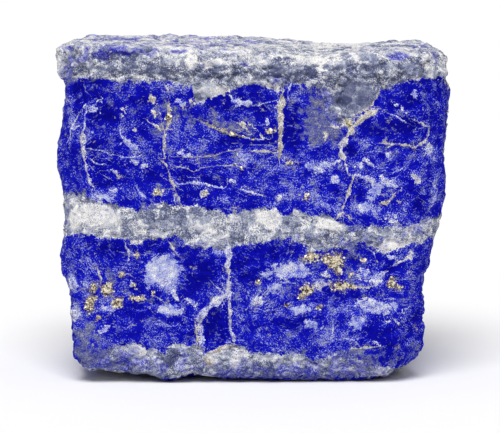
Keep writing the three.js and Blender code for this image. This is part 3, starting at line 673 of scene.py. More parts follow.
def patches(points, side, items, crisp=1.5):
    """Adds up patches, each (across, up, half width, half height, strength)."""
    total = np.zeros(len(points))
    centres = side.onto([item[:2] for item in items])
    for centre, (_, _, wide, high, strength) in zip(centres, items):
        away = points - centre
        reach = (away[:, side.across] / wide) ** 2 + (away[:, side.up] / high) ** 2
        reach += (away[:, side.axis] / MARK_DEPTH) ** 2
        total += strength * np.exp(-0.7 * reach**crisp)
    return total


def resampled(line, spacing=0.8):
    """More points along a line, at an even spacing in mm."""
    line = np.array(line, float)
    lengths = np.hypot(*np.diff(line, axis=0).T)
    along = np.concatenate([[0], np.cumsum(lengths)])
    stops = np.linspace(0, along[-1], max(2, round(along[-1] / spacing) + 1))
    return np.stack([np.interp(stops, along, line[:, k]) for k in (0, 1)], axis=1)


def traced(points, side, lines):
    """The nearest of the lines, each (width, tone, path), at each point.

    Gives the distance across it in mm, below 0 on its left and above 0 on its right, its half width, which
    tapers to its ends, and its tone.
    """
    across = np.full(len(points), FAR)
    half = np.full(len(points), -1.0)
    tone = np.zeros(len(points))
    for width, value, line in lines:
        path = side.onto(resampled(line))
        near = np.flatnonzero(np.all((points > path.min(0) - FAR) & (points < path.max(0) + FAR), axis=1))
        some = points[near]
        stretches = len(path) - 1
        for i, (start, end) in enumerate(zip(path[:-1], path[1:])):
            along = end - start
            t = np.clip((some - start) @ along / (along @ along), 0, 1)
            away = some - start - t[:, None] * along
            distance = np.linalg.norm(away, axis=1)
            closer = distance < np.abs(across[near])
            left = along[side.across] * away[:, side.up] > along[side.up] * away[:, side.across]
            taper = np.minimum(1, 0.45 + np.minimum(i + t, stretches - i - t) * 0.3)
            across[near[closer]] = np.where(left, -distance, distance)[closer]
            half[near[closer]] = (width / 2 * taper)[closer]
            tone[near[closer]] = value
    # Far from a line its sides may meet, so there it has no width.
    return across, np.where(np.abs(across) > 1.5, -1, half), tone


def spots(points, side, items):
    """How far inside a spot each point is, in mm, and the last value of that spot."""
    inside = np.full(len(points), -FAR)
    stained = np.full(len(points), 0.5)
    for centre, (_, _, wide, high, turn, stain) in zip(side.onto([item[:2] for item in items]), items):
        away = points - centre
        across, up = away[:, side.across], away[:, side.up]
        angle = math.radians(turn)
        along = across * math.cos(angle) + up * math.sin(angle)
        athwart = up * math.cos(angle) - across * math.sin(angle)
        reach = np.sqrt((along / wide) ** 2 + (athwart / high) ** 2 + (away[:, side.axis] / MARK_DEPTH) ** 2)
        depth = 0.8 * min(wide, high) * (1 - reach)
        stained = np.where(depth > inside, stain, stained)
        inside = np.maximum(inside, depth)
    return inside, stained


def calcite_bands(points, dip):
    """How far inside a calcite band each point is, in mm, below 0 outside."""
    x, y, z = (points - (FACE_MIDDLE, 0, 0)).T
    front, back = cad_box[0].y / MM, cad_box[1].y / MM
    inward = (y - front) / (back - front)
    fade = 1 - step(inward, 0.04, 0.30)
    level = z + dip * inward
    wander = 1.6 * bumps(points, (14, 9, 30), 3) + 0.7 * bumps(points, (4, 4, 9), 4)

    def edge(outline, layer):
        # The outline holds at the broad face, and noise takes over from it further back.
        xs, zs = np.array(outline).T
        mean = np.interp(x, [xs[0], 0, xs[-1]], [zs[0], zs.mean(), zs[-1]])
        far = mean + wander + 1.2 * bumps(points, (9, 7, 40), 5 + layer)
        return fade * np.interp(x, xs, zs) + (1 - fade) * far

    top = level - edge(TOP_BAND_BOTTOM, 0)
    middle = np.minimum(edge(MIDDLE_BAND_TOP, 1) - level, level - edge(MIDDLE_BAND_BOTTOM, 2))
    bottom = np.minimum(edge(BOTTOM_BAND_TOP, 3) - level, z - UNDERSIDE_BLUE - 0.4 * bumps(points, 3, 9))
    return np.maximum(np.maximum(top, middle), bottom)


# ---------------------------------------------------------------- what is on the hidden sides


def wandering_line(rng, here, low, high):
    """A line that wanders off from a place, mostly up or down, and stays between low and high."""
    heading = rng.choice([0, 90, 90]) + rng.normal(0, 18)
    line = [here]
    for _ in range(rng.integers(3, 9)):
        heading += rng.normal(0, 16)
        turn = math.radians(heading)
        here = here + rng.uniform(1.5, 3.2) * np.array([math.cos(turn), math.sin(turn)])
        line.append(np.clip(here, low, high))
    return line


def hidden_marks(rng, place):
    """The marks of a side that has no listed ones, with about as many as the broad face."""
    across, up = [i for i in range(3) if i != place[0]]
    low, high = [np.array([corner[across], corner[up]]) / MM for corner in cad_box]
    area = np.prod(high - low)
    low, high = low + EDGE_MARGIN, high - EDGE_MARGIN
    # The broad face has its own marks, and nothing from here should reach it.
    if place[0] != 1:
        low[(across, up).index(1)] += FACE_MARGIN

    def somewhere():
        return rng.uniform(low, high)

    veins = []
    threads = []
    cracks = []
    for number in range(round(area / LINE_AREA)):
        line = wandering_line(rng, somewhere(), low, high)
        if number % 4 == 1:
            cracks.append((rng.uniform(0.6, 1.1), line))
        elif number % 4:
            threads.append((rng.uniform(1.2, 1.8), line))
        else:
            veins.append((rng.choice([0.3, 0.45, 0.6, 0.9]), rng.uniform(-0.3, 0.6), line))
    blue = []
    for _ in range(round(area / BLUE_AREA)):
        strength = rng.choice([-0.9, -0.6, -0.5, 0.4, 0.5, 1.1])
        blue.append((*somewhere(), rng.uniform(1.4, 4.5), rng.uniform(1.0, 2.8), strength))
    calcite = []
    for _ in range(round(area / CALCITE_AREA)):
        here = somewhere()
        calcite.append((*here, rng.uniform(1.5, 5), rng.uniform(1, 2.5), rng.choice([-0.8, -0.4, 0.5, 1])))
    haze = []
    for _ in range(round(area / HAZE_AREA)):
        haze.append((*somewhere(), rng.uniform(1.5, 5), rng.uniform(1, 3), rng.uniform(0.4, 0.7)))
    pale_spots = []
    for _ in range(round(area / SPOT_AREA)):
        stain = rng.choice([-1.0, -0.8, -0.5, 0.0, 0.3])
        wide = rng.uniform(0.5, 1.2) if stain > -0.6 else rng.uniform(1.2, 3.2)
        pale_spots.append((*somewhere(), wide, wide * rng.uniform(0.35, 0.8), rng.uniform(-60, 60), stain))
    grains = []
    for _ in range(round(area / GRAIN_AREA)):
        wide = rng.uniform(0.8, 2.6)
        here = somewhere()
        high_share = rng.uniform(0.4, 0.9)
        grains.append((*here, wide, wide * high_share, rng.uniform(-40, 40), rng.uniform(-0.8, 1.2)))
    pyrite = []
    for _ in range(round(area / CLUSTER_AREA)):
        centre = somewhere()
        for _ in range(rng.integers(2, 8)):
            wide = rng.uniform(0.3, 1.1)
            near = (centre + rng.normal(0, 2.4, 2)).clip(low, high)
            pyrite.append((*near, wide, wide * rng.uniform(0.5, 1.1)))
    return Marks(veins, pale_spots, grains, cracks, threads, blue, calcite, haze, pyrite)


def all_marks(seed):
    """The marks of each side."""
    marks = {
        FRONT: Marks(
            VEINS, SPOTS, LARGE_GRAINS, CRACKS, THREADS,
            BLUE_PATCHES, CALCITE_PATCHES, HAZE_PATCHES, PYRITE_CLUSTERS,
        ),
    }
    for number, place in enumerate((LEFT, RIGHT, BACK, UNDER, TOP)):
        marks[place] = hidden_marks(np.random.default_rng(seed * 10 + number), place)
    # Calcite covers the top, and veins don't show in it.
    marks[TOP] = marks[TOP]._replace(veins=[])
    return marks


def shaken(points, sizes):
    """Points moved about by noise of some (distance, width, layer), so that marks get ragged borders."""
    shifts = [
        sum(distance * bumps(points, width, layer + axis) for distance, width, layer in sizes)
        for axis in range(3)
    ]
    return points + np.stack(shifts, axis=1)


def survey(points, tree, form):
    """The minerals at each point of the skin, as named fields."""
    count = len(points)
    fields = {"calcite": calcite_bands(points, form.dip / MM)}
    fields |= {name: np.full(count, -FAR) for name in ("spot", "grain")}
    names = ("blue_shade", "calcite_shade", "haze", "dust", "spot_stain", "grain_tone")
    fields |= {name: np.zeros(count) for name in names}
    fields |= {name: np.tile(NO_LINE, (count, 1)) for name in ("vein", "crack", "thread")}
    uneven = shaken(points, ((0.6, 4, 40), (0.5, 1.6, 43)))
    less_uneven = 0.7 * points + 0.3 * uneven
    jagged = shaken(points, ((0.16, 1.1, 46), (0.12, 0.7, 49)))
    for place, marks in all_marks(form.seed).items():
        side = Side(tree, place)
        cracks = [(CRACK_WIDTH, depth, line) for depth, line in marks.cracks]
        threads = [(THREAD_WIDTH, pallor, line) for pallor, line in marks.threads]
        for name, drawn in (("vein", marks.veins), ("crack", cracks), ("thread", threads)):
            found = np.stack(traced(jagged, side, drawn), axis=1)
            nearer = np.abs(found[:, 0]) < np.abs(fields[name][:, 0])
            fields[name][nearer] = found[nearer]
        for name, tone, drawn in (("spot", "spot_stain", marks.spots), ("grain", "grain_tone", marks.grains)):
            inside, value = spots(less_uneven, side, drawn)
            fields[tone] = np.where(inside > fields[name], value, fields[tone])
            fields[name] = np.maximum(fields[name], inside)
        fields["blue_shade"] += patches(uneven, side, marks.blue)
        fields["calcite_shade"] += patches(uneven, side, marks.calcite)
        fields["haze"] += patches(uneven, side, marks.haze)
        # Dust lies in and a little round each cluster.
        dusty = [(across, up, 1.3 * wide, 1.3 * high, 0.8) for across, up, wide, high in marks.pyrite]
        fields["dust"] += patches(uneven, side, dusty)
    # Below 3 mm up, the blue rock is painted deeper: painted shade under the stone.
    fields["blue_shade"] -= 1 - step(points[:, 2], 1.5, 3.0)
    fields["dust"] *= 1 - step(fields["calcite"], -0.5, 0.5)
    # A spot is calcite in the blue rock, so it ends where a band begins.
    fields["spot"] = np.minimum(fields["spot"], 0.8 - fields["calcite"])
    # The lowest calcite has blue rock in it.
    fields["haze"] += 0.3 * (1 - step(uneven[:, 2], 6.0, 9.0))
    # The uppermost calcite is crushed white, with blue streaks on top.
    fields["calcite_shade"] += 0.7 * step(uneven[:, 2], 63.5, 67.0)
    fields["haze"] += 0.3 * step(uneven[:, 2], 66.6, 67.6)
    fields["haze"] += 1.0 * step(uneven[:, 2], 66.6, 67.6) * step(bumps(points, (12, 1.2, 6), 50), -0.2, 0.7)
    return fields


def relief(points, facing, fields, form):
    """Height of the rough surface over the smooth one at each point, in mm, and how deep in a pit it lies,
    which the materials paint as shade.
    """
    rough = form.rough / MM
    lump = form.lump / MM
    # Broken faces of 4 mm and 2 mm, with gaps between them. Grain under 0.7 mm is left to the material.
    large, large_gaps = facets(points, (4.4, 4.4, 2.8), 0)
    middling, middling_gaps = facets(points, (2.0, 2.0, 1.4), 1)
    gaps = large_gaps + 0.6 * middling_gaps
    # The blue rock swells over 9 mm and has small bumps.
    broad = 0.8 * bumps(points, 9, 10) + 0.4 * large
    small = 0.3 * middling + 0.35 * bumps(points, 1.2, 13) + 0.25 * bumps(points, 0.75, 14)
    # The calcite has domes of 4 mm, and ridges 3 mm apart.
    chalk = 0.6 * domes(points, 3.8, 0) + 0.35 * bumps(points, 5, 15) + 0.55 * large - 0.4
    chalk_small = 0.4 * middling + 0.35 * ridges(points, (3.0, 3.0, 2.2), 22)
    chalk_small += 0.3 * bumps(points, 1.2, 16) + 0.2 * bumps(points, 0.75, 17)
    # The middle band and the lowest one broke flatter than the top.
    flat = 0.5 * (1 - step(np.abs(points[:, 2] - MIDDLE_BAND), 4, 8)) + 0.4 * (1 - step(points[:, 2], 6, 10))
    # So did the large grains, and the top is worn.
    smooth_grain = 0.8 * step(fields["grain"], -0.2, 0.3)
    worn_top = 0.5 * step(facing[:, 2], 0.5, 0.8)
    flat = 1 - (1 - flat) * (1 - smooth_grain) * (1 - worn_top)
    chalk *= 1 - flat
    chalk_small *= 1 - flat
    # The narrow faces are broken more roughly than the broad one.
    broken = 1 - step(-facing[:, 1], 0.5, 0.9)
    in_calcite = step(fields["calcite"], -0.25, 0.35)
    in_blue = (1 - in_calcite) * (0.55 + 0.45 * broken)
    height = in_blue * rough * (broad + small) + in_calcite * lump * (chalk + chalk_small)
    # Cracks are open, and veins and spots stand a little proud.
    across, _, depth = fields["crack"].T
    crack = depth * (1 - step(np.abs(across), 0.15, 0.5))
    across, half, _ = fields["vein"].T
    vein = step(half - np.abs(across), -0.15, 0.2)
    height -= 0.12 * gaps + 0.3 * crack
    height += 0.12 * np.maximum(vein, step(fields["spot"], -0.15, 0.2))
    # Broken faces that stand upright have upright ropes 1 to 2 mm wide, and the top has ripples along it.
    ropes = bumps(points, (1.6, 1.6, 14), 18) + 0.5 * bumps(points, (0.9, 0.9, 7), 19)
    upright = broken * (1 - step(np.abs(facing[:, 2]), 0.3, 0.7))
    height += 0.45 * upright * ropes
    ripples = bumps(points, (11, 1.7, 8), 20) + 0.5 * bumps(points, (5, 0.9, 5), 21)
    height += 0.28 * step(facing[:, 2], 0.6, 0.9) * ripples
    # How deep each point lies in a hollow, a groove or a crack, which the materials paint darker: painted
    # shade.
    hills = in_blue * small + in_calcite * (chalk_small + 0.4 * chalk) - 0.35 * gaps
    hills += 1.2 * upright * ropes
    return height, crack - hills


def smooth_skin(form):
    """The skin before it is roughened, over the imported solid.

    Gives its points in mm, its faces, their sides, each point's share of the way along the box, and the solid
    as a tree.
    """
    low, high = [np.array(corner) / MM for corner in cad_box]
    size = high - low
    counts = [round(length / (form.cell / MM)) for length in size]
    places, faces, sides = shell(counts)
    box = (places / (2 * np.array(counts)) - 0.5) * size
    core = np.clip(box, CORE_DEPTH - size / 2, size / 2 - CORE_DEPTH)
    outward = box - core
    outward /= np.linalg.norm(outward, axis=1)[:, None]
    tree = smooth_solid()
    points = cast(tree, core + (low + high) / 2, outward)
    return points, faces, sides, places / (2 * np.array(counts)), tree


def vertex_normals(mesh):
    """The outward direction at each point of a mesh."""
    normals = np.empty(len(mesh.vertices) * 3)
    mesh.vertices.foreach_get("normal", normals)
    return normals.reshape(-1, 3)


def lay_flat(mesh, sides, shares):
    """Gives each side its own rectangle in a flat map of the stone."""
    flat = mesh.uv_layers.new(name="OFBake")
    where = np.empty(len(mesh.loops), int)
    mesh.loops.foreach_get("vertex_index", where)
    places = np.empty((len(where), 2))
    start = 0
    for face, side in zip(mesh.polygons, sides):
        axis = side[0]
        left, bottom, wide, high = FLAT_LAYOUT[side]
        corners = slice(start, start + face.loop_total)
        share = shares[where[corners]]
        places[corners, 0] = left + wide * share[:, (axis + 1) % 3]
        places[corners, 1] = bottom + high * share[:, (axis + 2) % 3]
        start += face.loop_total
    flat.data.foreach_set("uv", places.ravel())


def make_stone(form, colours):
    """The stone's rough skin, with the minerals drawn on it."""
    points, faces, sides, shares, tree = smooth_skin(form)
    mesh = bpy.data.meshes.new(STONE)
    mesh.from_pydata((points * MM).tolist(), [], faces)
    facing = vertex_normals(mesh)
    fields = survey(points, tree, form)
    height, fields["pit_shade"] = relief(points, facing, fields, form)
    points = points + facing * height[:, None]
    low, high = [np.array(corner) / MM for corner in cad_box]
    points = np.clip(points, low, high)
    mesh.vertices.foreach_set("co", (points * MM).ravel())
    mesh.update()
    # How much further up each point faces than the smooth surface does, from -1 to 1. The materials use it to
    # paint points that face up lighter and those that face down darker: painted light from above.
    fields["tilt"] = (vertex_normals(mesh) - facing)[:, 2]
    for name, values in fields.items():
        if values.ndim == 1:
            mesh.attributes.new(name, "FLOAT", "POINT").data.foreach_set("value", values)
        else:
            mesh.attributes.new(name, "FLOAT_VECTOR", "POINT").data.foreach_set("vector", values.ravel())
    lay_flat(mesh, sides, shares)
    mesh.polygons.foreach_set("use_smooth", [True] * len(mesh.polygons))
    mesh.update()
    mesh.materials.append(rough_lapis(colours))
    stone = bpy.data.objects.new(STONE, mesh)
    bpy.context.scene.collection.objects.link(stone)
    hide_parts(NODE)
    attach(stone, "root")


# ---------------------------------------------------------------- materials


def add_node(tree, kind, inputs=None, output=0, **settings):
    """Adds a node, sets its properties, sets or links its inputs, and returns one of its outputs."""
    node = tree.nodes.new("ShaderNode" + kind)
    for name, value in settings.items():
        setattr(node, name, value)
    for name, value in (inputs or {}).items():
        if isinstance(value, bpy.types.NodeSocket):
            tree.links.new(value, node.inputs[name])
        else:
            node.inputs[name].default_value = value
    return node.outputs[output]


def new_material(name, settings):
    """A material with those settings of its shader, and the shader."""
    material = bpy.data.materials.new(name)
    material.use_nodes = True
    surface = material.node_tree.nodes["Principled BSDF"]
    for socket, value in settings.items():
        surface.inputs[socket].default_value = value
    return material, surface


class MineralNodes:
    """Builds the patterns of a mineral from nodes, with their sizes in mm."""

    def __init__(self, tree):
        self.add = partial(add_node, tree)
        place = self.add("TexCoord", output="Object")
        self.place = self.add("VectorMath", {0: place, "Scale": 1 / MM}, operation="SCALE")

    def total(self, *terms, low=None, high=None):
        """The sum of (share, value) terms. With low and high, 0 where it is below low and 1 above high."""
        value = 0.0
        for share, term in terms:
            value = self.add("Math", {0: term, 1: share, 2: value}, operation="MULTIPLY_ADD")
        if low is None:
            return value
        limits = {"Value": value, "From Min": low, "From Max": high}
        return self.add("MapRange", limits, interpolation_type="SMOOTHSTEP")

    def clouds(self, width, detail=0.0, stretch=(1, 1, 1), shift=0.0):
        """Soft patches of that width in mm, mostly from -1 to 1. Each shift gives other patches."""
        scale = [1 / (width * share) for share in stretch]
        turned = {"Vector": self.place, "Scale": scale, "Rotation": (0.6, 0.4, 0.5), "Location": [shift] * 3}
        raw = self.add("TexNoise", {"Vector": self.add("Mapping", turned), "Scale": 1.0, "Detail": detail})
        return self.total((1.0, -3.5), (7.0, raw))

    def ragged(self, width, stretch, shift, amount):
        """The place in widths, bent so that what is drawn there has ragged borders."""
        scale = [1 / (width * share) for share in stretch]
        plain = self.add("Mapping", {"Vector": self.place, "Scale": scale, "Location": [shift] * 3})
        wander = self.add("TexNoise", {"Vector": plain, "Scale": 1.7, "Detail": 2.0}, "Color")
        return self.add("VectorMath", {0: wander, 1: [amount] * 3, 2: plain}, operation="MULTIPLY_ADD")

    def grains(self, width, stretch=(1, 1, 1), shift=0.0, amount=0.5, slope=3.0):
        """Broken grains of that width in mm, each with its own level and slope, mostly from -1 to 1."""
        where = self.ragged(width, stretch, shift, amount)
        grain = self.add("TexVoronoi", {"Vector": where, "Scale": 1.0}).node
        own = self.add("VectorMath", {0: grain.outputs["Color"], 1: [0.5] * 3}, operation="SUBTRACT")
        away = self.add("VectorMath", {0: where, 1: grain.outputs["Position"]}, operation="SUBTRACT")
        sloping = self.add("VectorMath", {0: own, 1: away}, "Value", operation="DOT_PRODUCT")
        level = self.add("SeparateXYZ", {0: own})
        return self.total((2.6, level), (slope, sloping))

    def seams(self, width, stretch, shift, amount, thin):
        """1 in the thin seams between the broken grains of the same settings."""
        where = self.ragged(width, stretch, shift, amount)
        apart = self.add("TexVoronoi", {"Vector": where, "Scale": 1.0}, feature="DISTANCE_TO_EDGE")
        return self.total((1.0, apart), low=thin, high=0.0)

    def strokes(self, width, length, zone, shift):
        """Fine scratches of that width and length in mm, from -1 to 1, that lean another way in each zone."""
        where = self.ragged(zone, (1, 1, 1), shift, 0.6)
        lean = self.add("SeparateXYZ", {0: self.add("TexVoronoi", {"Vector": where, "Scale": 1.0}, "Color")})
        angle = self.total((1.0, -1.0), (2.0, lean))
        turned = self.add("VectorRotate", {"Vector": self.place, "Angle": angle}, rotation_type="Y_AXIS")
        drawn_out = self.add("Mapping", {"Vector": turned, "Scale": (1 / length, 1 / length, 1 / width)})
        raw = self.add("TexNoise", {"Vector": drawn_out, "Scale": 1.0, "Detail": 0.0})
        return self.total((1.0, -3.5), (7.0, raw))

    def line(self, name, ragged, uneven):
        """1 on the traced lines of that name, with ragged edges and an uneven width, and the lines' tone."""
        trace = self.add("SeparateXYZ", {0: self.add("Attribute", output="Vector", attribute_name=name)}).node
        distance, half_width, tone = trace.outputs
        across = self.add("Math", {0: self.total((1.0, distance), (1.0, ragged))}, operation="ABSOLUTE")
        half = self.total((half_width, self.total((1.0, 1.0), (0.25, uneven))))
        return self.total((-1.0, across), (1.0, half), low=-0.06, high=0.06), tone

    def wisps(self, width, stretch, shift, thin):
        """Thin winding lines, 1 on the line."""
        across = self.add("Math", {0: self.clouds(width, 2.0, stretch, shift)}, operation="ABSOLUTE")
        return self.total((1.0, across), low=thin, high=0.0)

    def shades(self, value, stops):
        """A colour for each value, from (value, colour) stops."""
        low, high = stops[0][0], stops[-1][0]
        share = self.add("MapRange", {"Value": value, "From Min": low, "From Max": high})
        colour = self.add("ValToRGB", {0: share})
        elements = colour.node.color_ramp.elements
        for _ in stops[2:]:
            elements.new(0.5)
        for element, (at, shade) in zip(elements, stops):
            element.position = (at - low) / (high - low)
            element.color = (*shade, 1)
        return colour

    def layers(self, under, *covers):
        """A colour with others over it, each given as (share, colour)."""
        for share, over in covers:
            if not isinstance(over, bpy.types.NodeSocket):
                over = (*over, 1)
            under = self.add("Mix", {0: share, 6: under, 7: over}, 2, data_type="RGBA")
        return under


class StoneNodes(MineralNodes):
    """The fields of the stone's skin and the patterns that its minerals share."""

    def __init__(self, tree):
        super().__init__(tree)
        # The depth in pits and the tilt of each point are drawn as painted shade and painted light.
        names = (
            "blue_shade", "calcite_shade", "haze", "dust", "calcite", "spot", "spot_stain", "grain",
            "grain_tone", "pit_shade", "tilt",
        )
        self.field = {name: self.add("Attribute", output="Fac", attribute_name=name) for name in names}

        # Cloudy patches, from a seam of the rock, 9 mm wide, to a knot of crystals, under half a mm wide.
        self.huge = self.clouds(9.0, 2.0)
        self.coarse = self.clouds(4.0, 1.0, shift=5)
        self.middle = self.clouds(1.8, shift=9)
        self.small = self.clouds(0.9, shift=2)
        self.fine = self.clouds(0.45, shift=7)
        # Single crystals are finer than this, and are drawn as coarse as they need to show.
        self.dots = self.clouds(0.18, shift=11)
        self.other_dots = self.clouds(0.18, shift=23)
        self.crystals = self.grains(0.3, (1.2, 1.2, 0.9), 8, 0.4)
        # Scratches 1.3 mm long, left where the rock was rubbed.
        self.scratches = self.strokes(0.22, 1.3, 5.0, 17)
        # The rock breaks into zones of 7 mm, slabs of 3 mm and blocks of 1.6 mm, and sheds chips and crumbs.
        self.zones = self.grains(7.0, (1.5, 1.5, 0.8), 3, 0.8, 2.0)
        self.slabs = self.grains(3.2, (1.4, 1.4, 0.8), 12, 0.8)
        self.blocks = self.grains(1.6, (1.3, 1.3, 0.8), 6, 0.6)
        self.chips = self.grains(0.6, (1.2, 1.2, 0.9), 31, 0.5, 0.0)
        self.crumbs = self.grains(0.24, (1.1, 1.1, 0.9), 35, 0.3, 0.0)

        self.rag = self.total((0.05, self.small), (0.06, self.fine), (0.06, self.dots))
        self.vein, self.stain = self.line("vein", self.rag, self.middle)
        # Cracks are painted dark along their lines, the more so the deeper they are: painted shade in them.
        crack, depth = self.line("crack", self.rag, self.middle)
        self.gap = self.total((crack, depth))
        self.thread, self.paleness = self.line("thread", self.rag, self.small)
        self.speckle = self.total((1.0, self.other_dots), (0.15, self.scratches))
        # Where blue rock and calcite are mixed.
        self.mixed = self.total(
            (1.8, self.field["haze"]), (0.5, self.middle), (0.3, self.small), (0.15, self.fine),
            (0.2, self.crystals), (0.3, self.dots),
        )


def blue_rock(n, colours):
    """Lazurite rock: angular zones of deeper and paler blue, wisps of calcite, and crystals, most where pale.

    Gives its colour where it is clean, and its colour with the greyish rock that is mixed into it.
    """
    streaks = n.total((1.0, n.wisps(3.2, (2.5, 2.5, 0.8), 4, 0.08)), (1.0, n.wisps(2.0, (1, 1, 1), 14, 0.06)))
    streaky = n.total((1.0, n.coarse), low=-0.3, high=0.8)
    # Hollows and cracks are painted a deeper blue and points that face up a paler one: painted shade and
    # painted light.
    base = n.total(
        (1.0, -0.35), (1.5, n.field["blue_shade"]), (0.25, n.zones), (0.1, n.huge), (0.1, n.coarse),
        (0.1, n.middle), (0.2, n.slabs), (0.2, n.blocks), (0.7, n.total((streaks, streaky))),
        (-0.5, n.field["pit_shade"]), (0.7, n.field["tilt"]), (n.thread, n.paleness), (-1.8, n.gap),
    )
    loose = n.total((1.0, base), (0.3, n.middle), low=-1.5, high=1.0)
    pale_chips = n.total((1.0, n.chips), (0.4, n.middle), (0.3, n.coarse), (0.2, base), low=1.1, high=1.2)
    deep_chips = n.total((-1.0, n.chips), (0.4, n.small), low=1.1, high=1.2)
    pale_crumbs = n.total(
        (1.0, n.crumbs), (0.35, n.small), (0.35, n.middle), (0.25, base), low=1.1, high=1.25
    )
    shade = n.total(
        (1.0, base), (1.0, n.total((n.speckle, n.total((1.0, 0.2), (1.3, loose))))),
        (0.9, pale_chips), (-0.8, deep_chips), (1.8, pale_crumbs),
    )
    clean_blue = n.shades(shade, [
        (-2.2, colours.deep), (-0.9, colours.rich), (0.6, colours.blue), (2.2, colours.pale),
        (4.0, colours.milk), (5.2, colours.bloom),
    ])
    glints = n.total((1.2, n.dots), (0.85, base), (0.3, n.middle), low=1.5, high=1.7)
    scars = n.total((1.0, n.scratches), (0.4, base), (0.35, n.middle), (0.35, n.dots), low=1.1, high=1.4)
    holes = n.total((-1.0, n.dots), (0.35, n.zones), (0.3, n.blocks), low=1.1, high=1.6)
    flecks = n.total(
        (1.0, n.small), (0.7, n.other_dots), (0.6, n.coarse), (0.6, n.field["haze"]), low=2.8, high=3.0
    )
    blue = n.layers(
        clean_blue, (n.total((0.45, scars)), colours.milk), (n.total((0.85, glints)), colours.bloom),
        (n.total((0.7, holes)), colours.deep), (n.total((0.8, flecks)), colours.cream),
    )
    greyish = n.shades(n.total((1.0, n.speckle), (0.3, base), (0.4, n.small)), [
        (-2.6, colours.rich), (0.0, colours.haze), (1.6, colours.grey), (2.8, colours.cream),
    ])
    grey_share = n.total((0.9, n.total((1.0, n.mixed), low=0.8, high=1.9)))
    return blue, n.layers(blue, (grey_share, greyish))


def calcite_rock(n, colours, blue):
    """Calcite: clear grey grains of 1 to 3 mm, crushed white ones and dark gaps, with some blue rock in."""
    large_grains = n.grains(3.0, (1.2, 1.2, 1.0), 18, 0.6, 4.0)
    small_grains = n.grains(1.1, (1.2, 1.2, 0.9), 28, 0.5, 4.0)
    pale_seams = n.seams(3.0, (1.2, 1.2, 1.0), 18, 0.6, 0.1)
    dark_seams = n.seams(1.1, (1.2, 1.2, 0.9), 28, 0.5, 0.16)
    edges = n.total((n.wisps(1.5, (1.2, 1.2, 0.9), 21, 0.1), n.total((1.0, n.middle), low=-0.6, high=1.0)))
    gaps = n.total((n.wisps(2.4, (1.5, 1.5, 0.8), 25, 0.06), n.total((1.0, n.coarse), low=-0.6, high=0.8)))
    sugar = n.total((1.2, n.dots), (0.25, n.crystals), (0.2, n.scratches))
    white_chips = n.total((1.0, n.chips), (0.4, n.middle), (0.3, n.slabs), low=0.9, high=1.0)
    grey_chips = n.total((-1.0, n.crumbs), (0.5, n.small), (0.4, n.blocks), low=1.1, high=1.25)
    # The large grains that are placed one by one are plainer inside, with a paler rim.
    in_grain = n.total((1.0, n.field["grain"]), (1.0, n.rag), low=-0.05, high=0.1)
    from_rim = n.total((1.0, n.field["grain"]), (1.6, n.rag))
    rim = n.total((1.0, n.add("Math", {0: from_rim}, operation="ABSOLUTE")), low=0.2, high=0.05)
    grainy = n.total((1.0, n.slabs), (-0.5, n.field["calcite_shade"]), (-0.7, in_grain), low=-1.2, high=1.0)
    coarseness = n.total((1.0, 0.4), (0.8, grainy))
    # Hollows are painted greyer: painted shade.
    broken = n.total(
        (0.15, n.coarse), (0.1, n.middle), (coarseness, sugar), (0.7, large_grains), (0.45, small_grains),
        (-0.7, n.field["pit_shade"]), (0.7, edges), (-0.8, gaps), (0.9, white_chips), (-1.0, grey_chips),
        (2.2, n.total((pale_seams, n.total((1.0, n.middle), low=-0.4, high=0.6)))),
        (-1.8, n.total((dark_seams, n.total((1.0, n.slabs), low=-0.4, high=0.8)))),
    )
    # Points that face up are painted whiter and cracks darker: painted light and painted shade.
    pallor = n.total(
        (1.0, 0.3), (1.4, n.field["calcite_shade"]), (0.15, n.huge), (1.3, n.field["tilt"]), (-1.8, n.gap),
        (broken, n.total((1.0, 1.0), (-0.45, in_grain))), (n.total((0.7, n.field["grain_tone"])), in_grain),
        (1.1, n.total((rim, n.total((1.0, n.middle), low=-1.2, high=0.6)))),
    )
    clean_calcite = n.shades(pallor, [
        (-2.4, colours.shadow), (-0.6, colours.grey), (0.4, colours.clear), (1.4, colours.white),
        (2.6, colours.bright),
    ])
    pits = n.total((1.0, n.other_dots), (0.4, n.coarse), (-0.2, n.blocks), low=0.9, high=1.5)
    calcite = n.layers(clean_calcite, (n.total((0.6, pits)), colours.shadow))
    blue_share = n.total((0.85, n.total((1.0, n.mixed), low=0.7, high=2.6)))
    return n.layers(calcite, (blue_share, blue))


def veins_and_spots(n, colours):
    """The colours of the veins and of the spots: milky blue, lavender white or stained cream calcite."""
    # Points that face up are painted paler here: painted light.
    mottle = n.total(
        (0.2, n.middle), (0.4, n.small), (0.9, n.dots), (0.4, n.crystals), (0.2, n.scratches),
        (0.8, n.field["tilt"]),
    )
    milkiness = n.total(
        (1.0, -0.4), (1.0, mottle), (0.6, n.middle), (0.4, n.field["spot"]), (0.7, n.field["blue_shade"])
    )
    milky = n.shades(milkiness, [
        (-2.2, colours.pale), (0.0, colours.milk), (1.8, colours.bloom), (3.2, colours.bright),
    ])
    clear = n.shades(mottle, [(-1.4, colours.pale), (0.5, colours.bloom), (1.9, colours.bright)])
    stained = n.shades(mottle, [(-1.3, colours.brown), (0.6, colours.cream), (2.2, colours.bright)])
    return tuple(
        n.layers(
            milky, (n.total((1.0, stain), (0.1, n.coarse), low=-0.9, high=-0.2), clear),
            (n.total((1.0, stain), (0.1, n.coarse), low=0.1, high=0.8), stained),
        )
        for stain in (n.stain, n.field["spot_stain"])
    )


